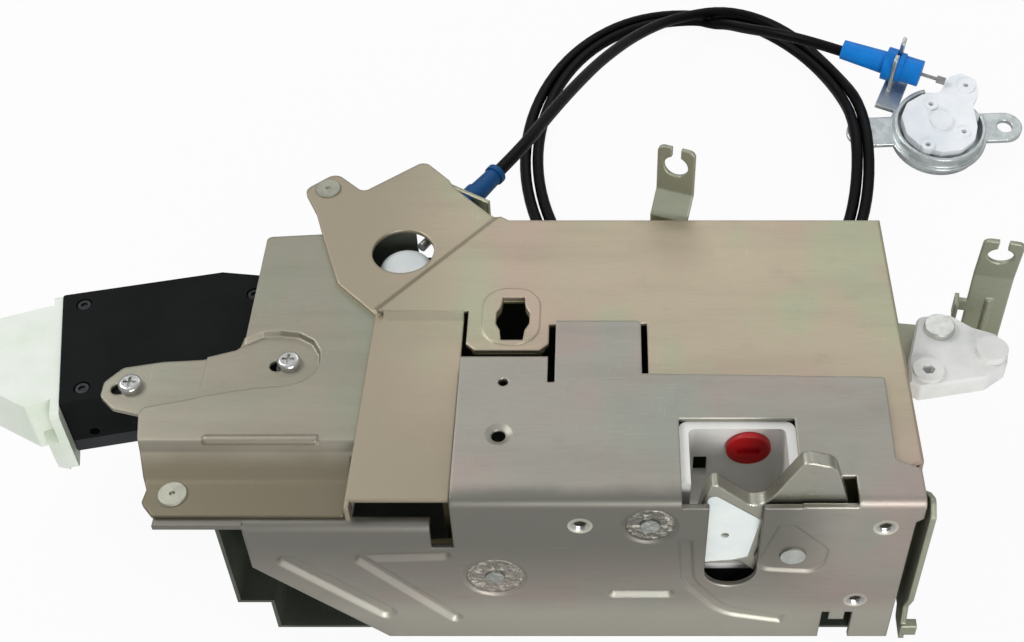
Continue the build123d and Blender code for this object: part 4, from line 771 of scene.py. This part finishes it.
# Painted shade darkens and browns the side plate's front zone, below its step.
side_steel = plated(
    "side_steel", rgba(158, 156, 140), rgba(164, 152, 138), rgba(150, 158, 138), 0.6,
    grain_turn=40, painted_edge_highlight=2.0, marks=[painted_shading((0.56, 0.5, 0.44), ("Y", 20, 30))],
)
side_steel.dress("side_plate")
tongue_steel = plated(
    "tongue_steel", rgba(158, 154, 122), rgba(166, 150, 120), rgba(150, 156, 118), 0.5
)
tongue_steel.dress("key_tongue", "backing_plate", "release_lever")
clip_steel = plated(
    "clip_steel", rgba(172, 174, 154), rgba(164, 164, 148), rgba(166, 174, 146), 0.4,
    rough=0.4, grain_turn=90,
)
clip_steel.dress("clip_bracket_rear", "clip_bracket_right", "lever_bracket", "side_lever", "cam_bracket")
bright_zinc = plated(
    "bright_zinc", rgba(214, 220, 219), rgba(205, 208, 212), rgba(220, 224, 220), 0.4,
    rough=0.24, metal=0.9, spangle=0.4,
)
bright_zinc.dress("key_bracket")
claw_steel = plated(
    "claw_steel", rgba(176, 174, 160), rgba(176, 164, 164), rgba(166, 174, 172), 0.6,
    rough=0.17, metal=0.95, painted_edge_highlight=1.9,
)
claw_steel.dress("claw", "keeper")
print("plated nodes dressed")

# %% [markdown]
# ## Pins, screws and springs
# Riveted heads are struck, which leaves facets, and the heads in the staked discs are the
# roughest. Voronoi cells give the facets as a bump on bright steel, and noise stains the tone.
# Smaller cells on smoother steel also suit the screws and springs.

# %% Pins and screws
def struck(name, tone, cell_scale, rough=0.3, depth=0.00012):
    """Bright steel in facets, with stains; depth is the relief in metres."""
    finish = Finish(name, Metallic=0.9)
    facet = finish.cells(cell_scale)
    fine = finish.noise(900, 3.0, 0.6)
    stain = finish.noise(180, 4.0, 0.6).above(0.4, 0.7)
    finish.feed("Base Color", finish.mix(stain * 0.5, tone, shade(tone, 0.6)))
    finish.feed("Roughness", (rough + fine * 0.2).clamped())
    finish.bump(facet * 0.7 + fine * 0.3, depth, 0.7)
    return finish


pin_steel = struck("pin_steel", rgba(206, 208, 202), 420, 0.24)
pin_steel.dress("claw_pin", "crank_pin", "side_lever_pin", "key_pin")
staked_steel = struck("staked_steel", rgba(176, 178, 172), 620, 0.34, 0.0011)
staked_steel.dress("keeper_pin", "lever_pin")
rivet_steel = struck("rivet_steel", rgba(176, 176, 160), 300, 0.34)
rivet_steel.dress("cover_rivets")
screw_zinc = struck("screw_zinc", rgba(208, 208, 204), 700, 0.2)
screw_zinc.dress("mount_screws", "connector_pins", "motor", "motor_worm", "threads")
black_screw = struck("black_screw", rgba(58, 60, 62), 700, 0.35)
black_screw.dress("module_screws")
spring_steel = struck("spring_steel", rgba(120, 120, 124), 900)
spring_steel.dress("claw_spring", "keeper_spring")
print("pins, screws and springs dressed")

# %% [markdown]
# ## The cable's inner wire
# The inner wire is laid from thin strands that run round it in a steep twist. A Wave texture
# with diagonal bands shows them as relief, and as colour with painted shade in the gaps.

# %% The inner wire
def strand_wire():
    """Bright steel strands, with painted shade in the gaps between them."""
    finish = Finish("strand_wire", Metallic=1.0)
    sockets = {"Vector": finish.place, "Scale": 900, "Distortion": 0.4}
    twist = finish.add("ShaderNodeTexWave", {"bands_direction": "DIAGONAL"}, sockets, 1)
    # Painted shade: the tone darkens in the gaps between the strands.
    finish.feed("Base Color", finish.mix(twist.above(0.1, 0.8), rgba(120, 120, 118), rgba(206, 206, 204)))
    finish.feed("Roughness", (0.2 + twist * 0.15).clamped())
    finish.bump(twist, 0.0002, 0.6)
    return finish


strand_wire().dress("key_wire", "cam_wire")
print("inner wire dressed")

# %% [markdown]
# ## Plastics
# Moulded parts differ in how they let light in. The liner and the key lever are white and
# a little glossy, and the module's black shell is blasted to a fine texture so that it
# hardly shines. A shared function sets tone, mottle and texture.

# %% Moulded finishes
def moulded(name, tone, mottle, rough, texture=0.00004, scale=1500, **constants):
    """Plastic with soft clouds of a second tone, and a fine texture of the mould."""
    finish = Finish(name, **constants)
    cloud = finish.noise(55, 4.0, 0.55)
    speck = finish.noise(scale, 3.0, 0.65)
    wear = finish.noise(240, 5.0, 0.7).above(0.6, 0.8)
    colour = finish.mix(cloud.above(0.35, 0.7), tone, mottle)
    finish.feed("Base Color", finish.mix(wear * 0.12, colour, shade(mottle, 0.75)))
    finish.feed("Roughness", (rough + speck * 0.14 + wear * 0.06).clamped())
    finish.bump(speck + cloud * 0.4, texture, 0.6)
    return finish


BLASTED = {"texture": 0.00008, "scale": 2200}
liner_white = moulded("liner_white", rgba(240, 239, 234), rgba(226, 225, 219), 0.3, Specular_IOR_Level=0.5)
liner_white.dress("striker_liner")
skin_white = moulded("skin_white", rgba(228, 233, 228), rgba(214, 222, 222), 0.32)
skin_white.dress("claw_skin", "key_cam", "worm_gear")
crank_white = moulded("crank_white", rgba(230, 230, 226), rgba(212, 213, 210), 0.35)
crank_white.dress("bell_crank")
lever_white = moulded("lever_white", rgba(246, 248, 250), rgba(230, 236, 240), 0.25)
lever_white.dress("key_lever")
button_red = moulded("button_red", rgba(176, 8, 16), rgba(146, 4, 10), 0.35)
button_red.dress("lock_button")
module_black = moulded(
    "module_black", rgba(14, 16, 16), rgba(9, 10, 10), 0.66, **BLASTED, Specular_IOR_Level=0.14
)
module_black.dress("module_housing")
base_black = moulded("base_black", rgba(44, 47, 49), rgba(35, 38, 40), 0.5, **BLASTED, Specular_IOR_Level=0.3)
base_black.dress("module_base")
fitting_near = moulded("fitting_near", rgba(0, 72, 124), rgba(0, 56, 102), 0.4, Specular_IOR_Level=0.3)
fitting_near.dress("cable_fitting_near")
fitting_far = moulded("fitting_far", rgba(0, 134, 226), rgba(0, 118, 204), 0.34, Specular_IOR_Level=0.3)
fitting_far.dress("cable_fitting_far")
rubber = moulded("rubber", rgba(40, 40, 42), rgba(30, 30, 32), 0.6, 0.0001, 1800)
rubber.dress("stop_buffer")
print("moulded parts dressed")

# %% [markdown]
# ## The connector
# Natural nylon is milky: a little light goes in and comes out elsewhere, and light through its
# thin, turned-away parts looks green. Subsurface scattering gives the first, and a Layer
# Weight node, which grows where the surface turns from the viewer, paints the second into the
# colour as a painted green cast.

# %% The milky nylon
def milky():
    """Pale nylon with a painted green cast at its edges, for light passing through them."""
    finish = Finish("milky", Subsurface_Weight=0.15, Subsurface_Radius=(0.004, 0.005, 0.003))
    cloud = finish.noise(40, 4.0, 0.6)
    speck = finish.noise(1500, 3.0, 0.6)
    turned = finish.add("ShaderNodeLayerWeight", {}, {"Blend": 0.35}, "Facing")
    colour = finish.mix(cloud.above(0.35, 0.7), rgba(234, 238, 229), rgba(222, 230, 214))
    # Painted light: the green cast grows where the surface turns from the viewer.
    finish.feed("Base Color", finish.mix(turned.above(0.4, 0.95) * 0.6, colour, rgba(206, 220, 176)))
    finish.feed("Roughness", (0.34 + speck * 0.12).clamped())
    finish.bump(speck, 0.00003, 0.5)
    return finish


milky().dress("connector_shell")
print("connector dressed")

# %% [markdown]
# ## The cable's sheath
# The sheath is extruded black plastic: smooth, with a little dust that lies in patches.

# %% The sheath
def sheath():
    """Black plastic with patches of dust."""
    finish = Finish("sheath", Specular_IOR_Level=0.12)
    dust = finish.noise(260, 5.0, 0.7)
    fine = finish.noise(1800, 2.0, 0.6)
    finish.feed("Base Color", finish.mix(dust.above(0.55, 0.8) * 0.4, rgba(6, 5, 6), rgba(18, 16, 16)))
    finish.feed("Roughness", (0.34 + dust * 0.16).clamped())
    finish.bump(fine + dust * 0.5, 0.00005, 0.5)
    return finish


sheath().dress("cable")
print("cable dressed")

# %% [markdown]
# ## The casing's paint
# The lower casing is dark green-black and slightly shiny, with thin lines where it is rubbed.

# %% The dark paint
def dark_paint():
    """Dark paint in soft clouds, with rubbed lines."""
    finish = Finish("dark_paint", Metallic=0.2)
    cloud = finish.noise(28, 5.0, 0.6)
    fine = finish.noise(1100, 3.0, 0.6)
    rubbed = finish.noise(1.0, 2.0, 0.5, place=finish.stretched((60, 1400, 500), 15)).above(0.68, 0.74)
    colour = finish.mix(cloud.above(0.35, 0.7), rgba(66, 72, 61), rgba(86, 90, 79))
    finish.feed("Base Color", finish.mix(rubbed * 0.3, colour, rgba(110, 114, 104)))
    finish.feed("Roughness", (0.34 + cloud * 0.2).clamped())
    finish.bump(fine + cloud * 0.3, 0.00005, 0.5)
    return finish


dark_paint().dress("casing")
print("casing dressed")
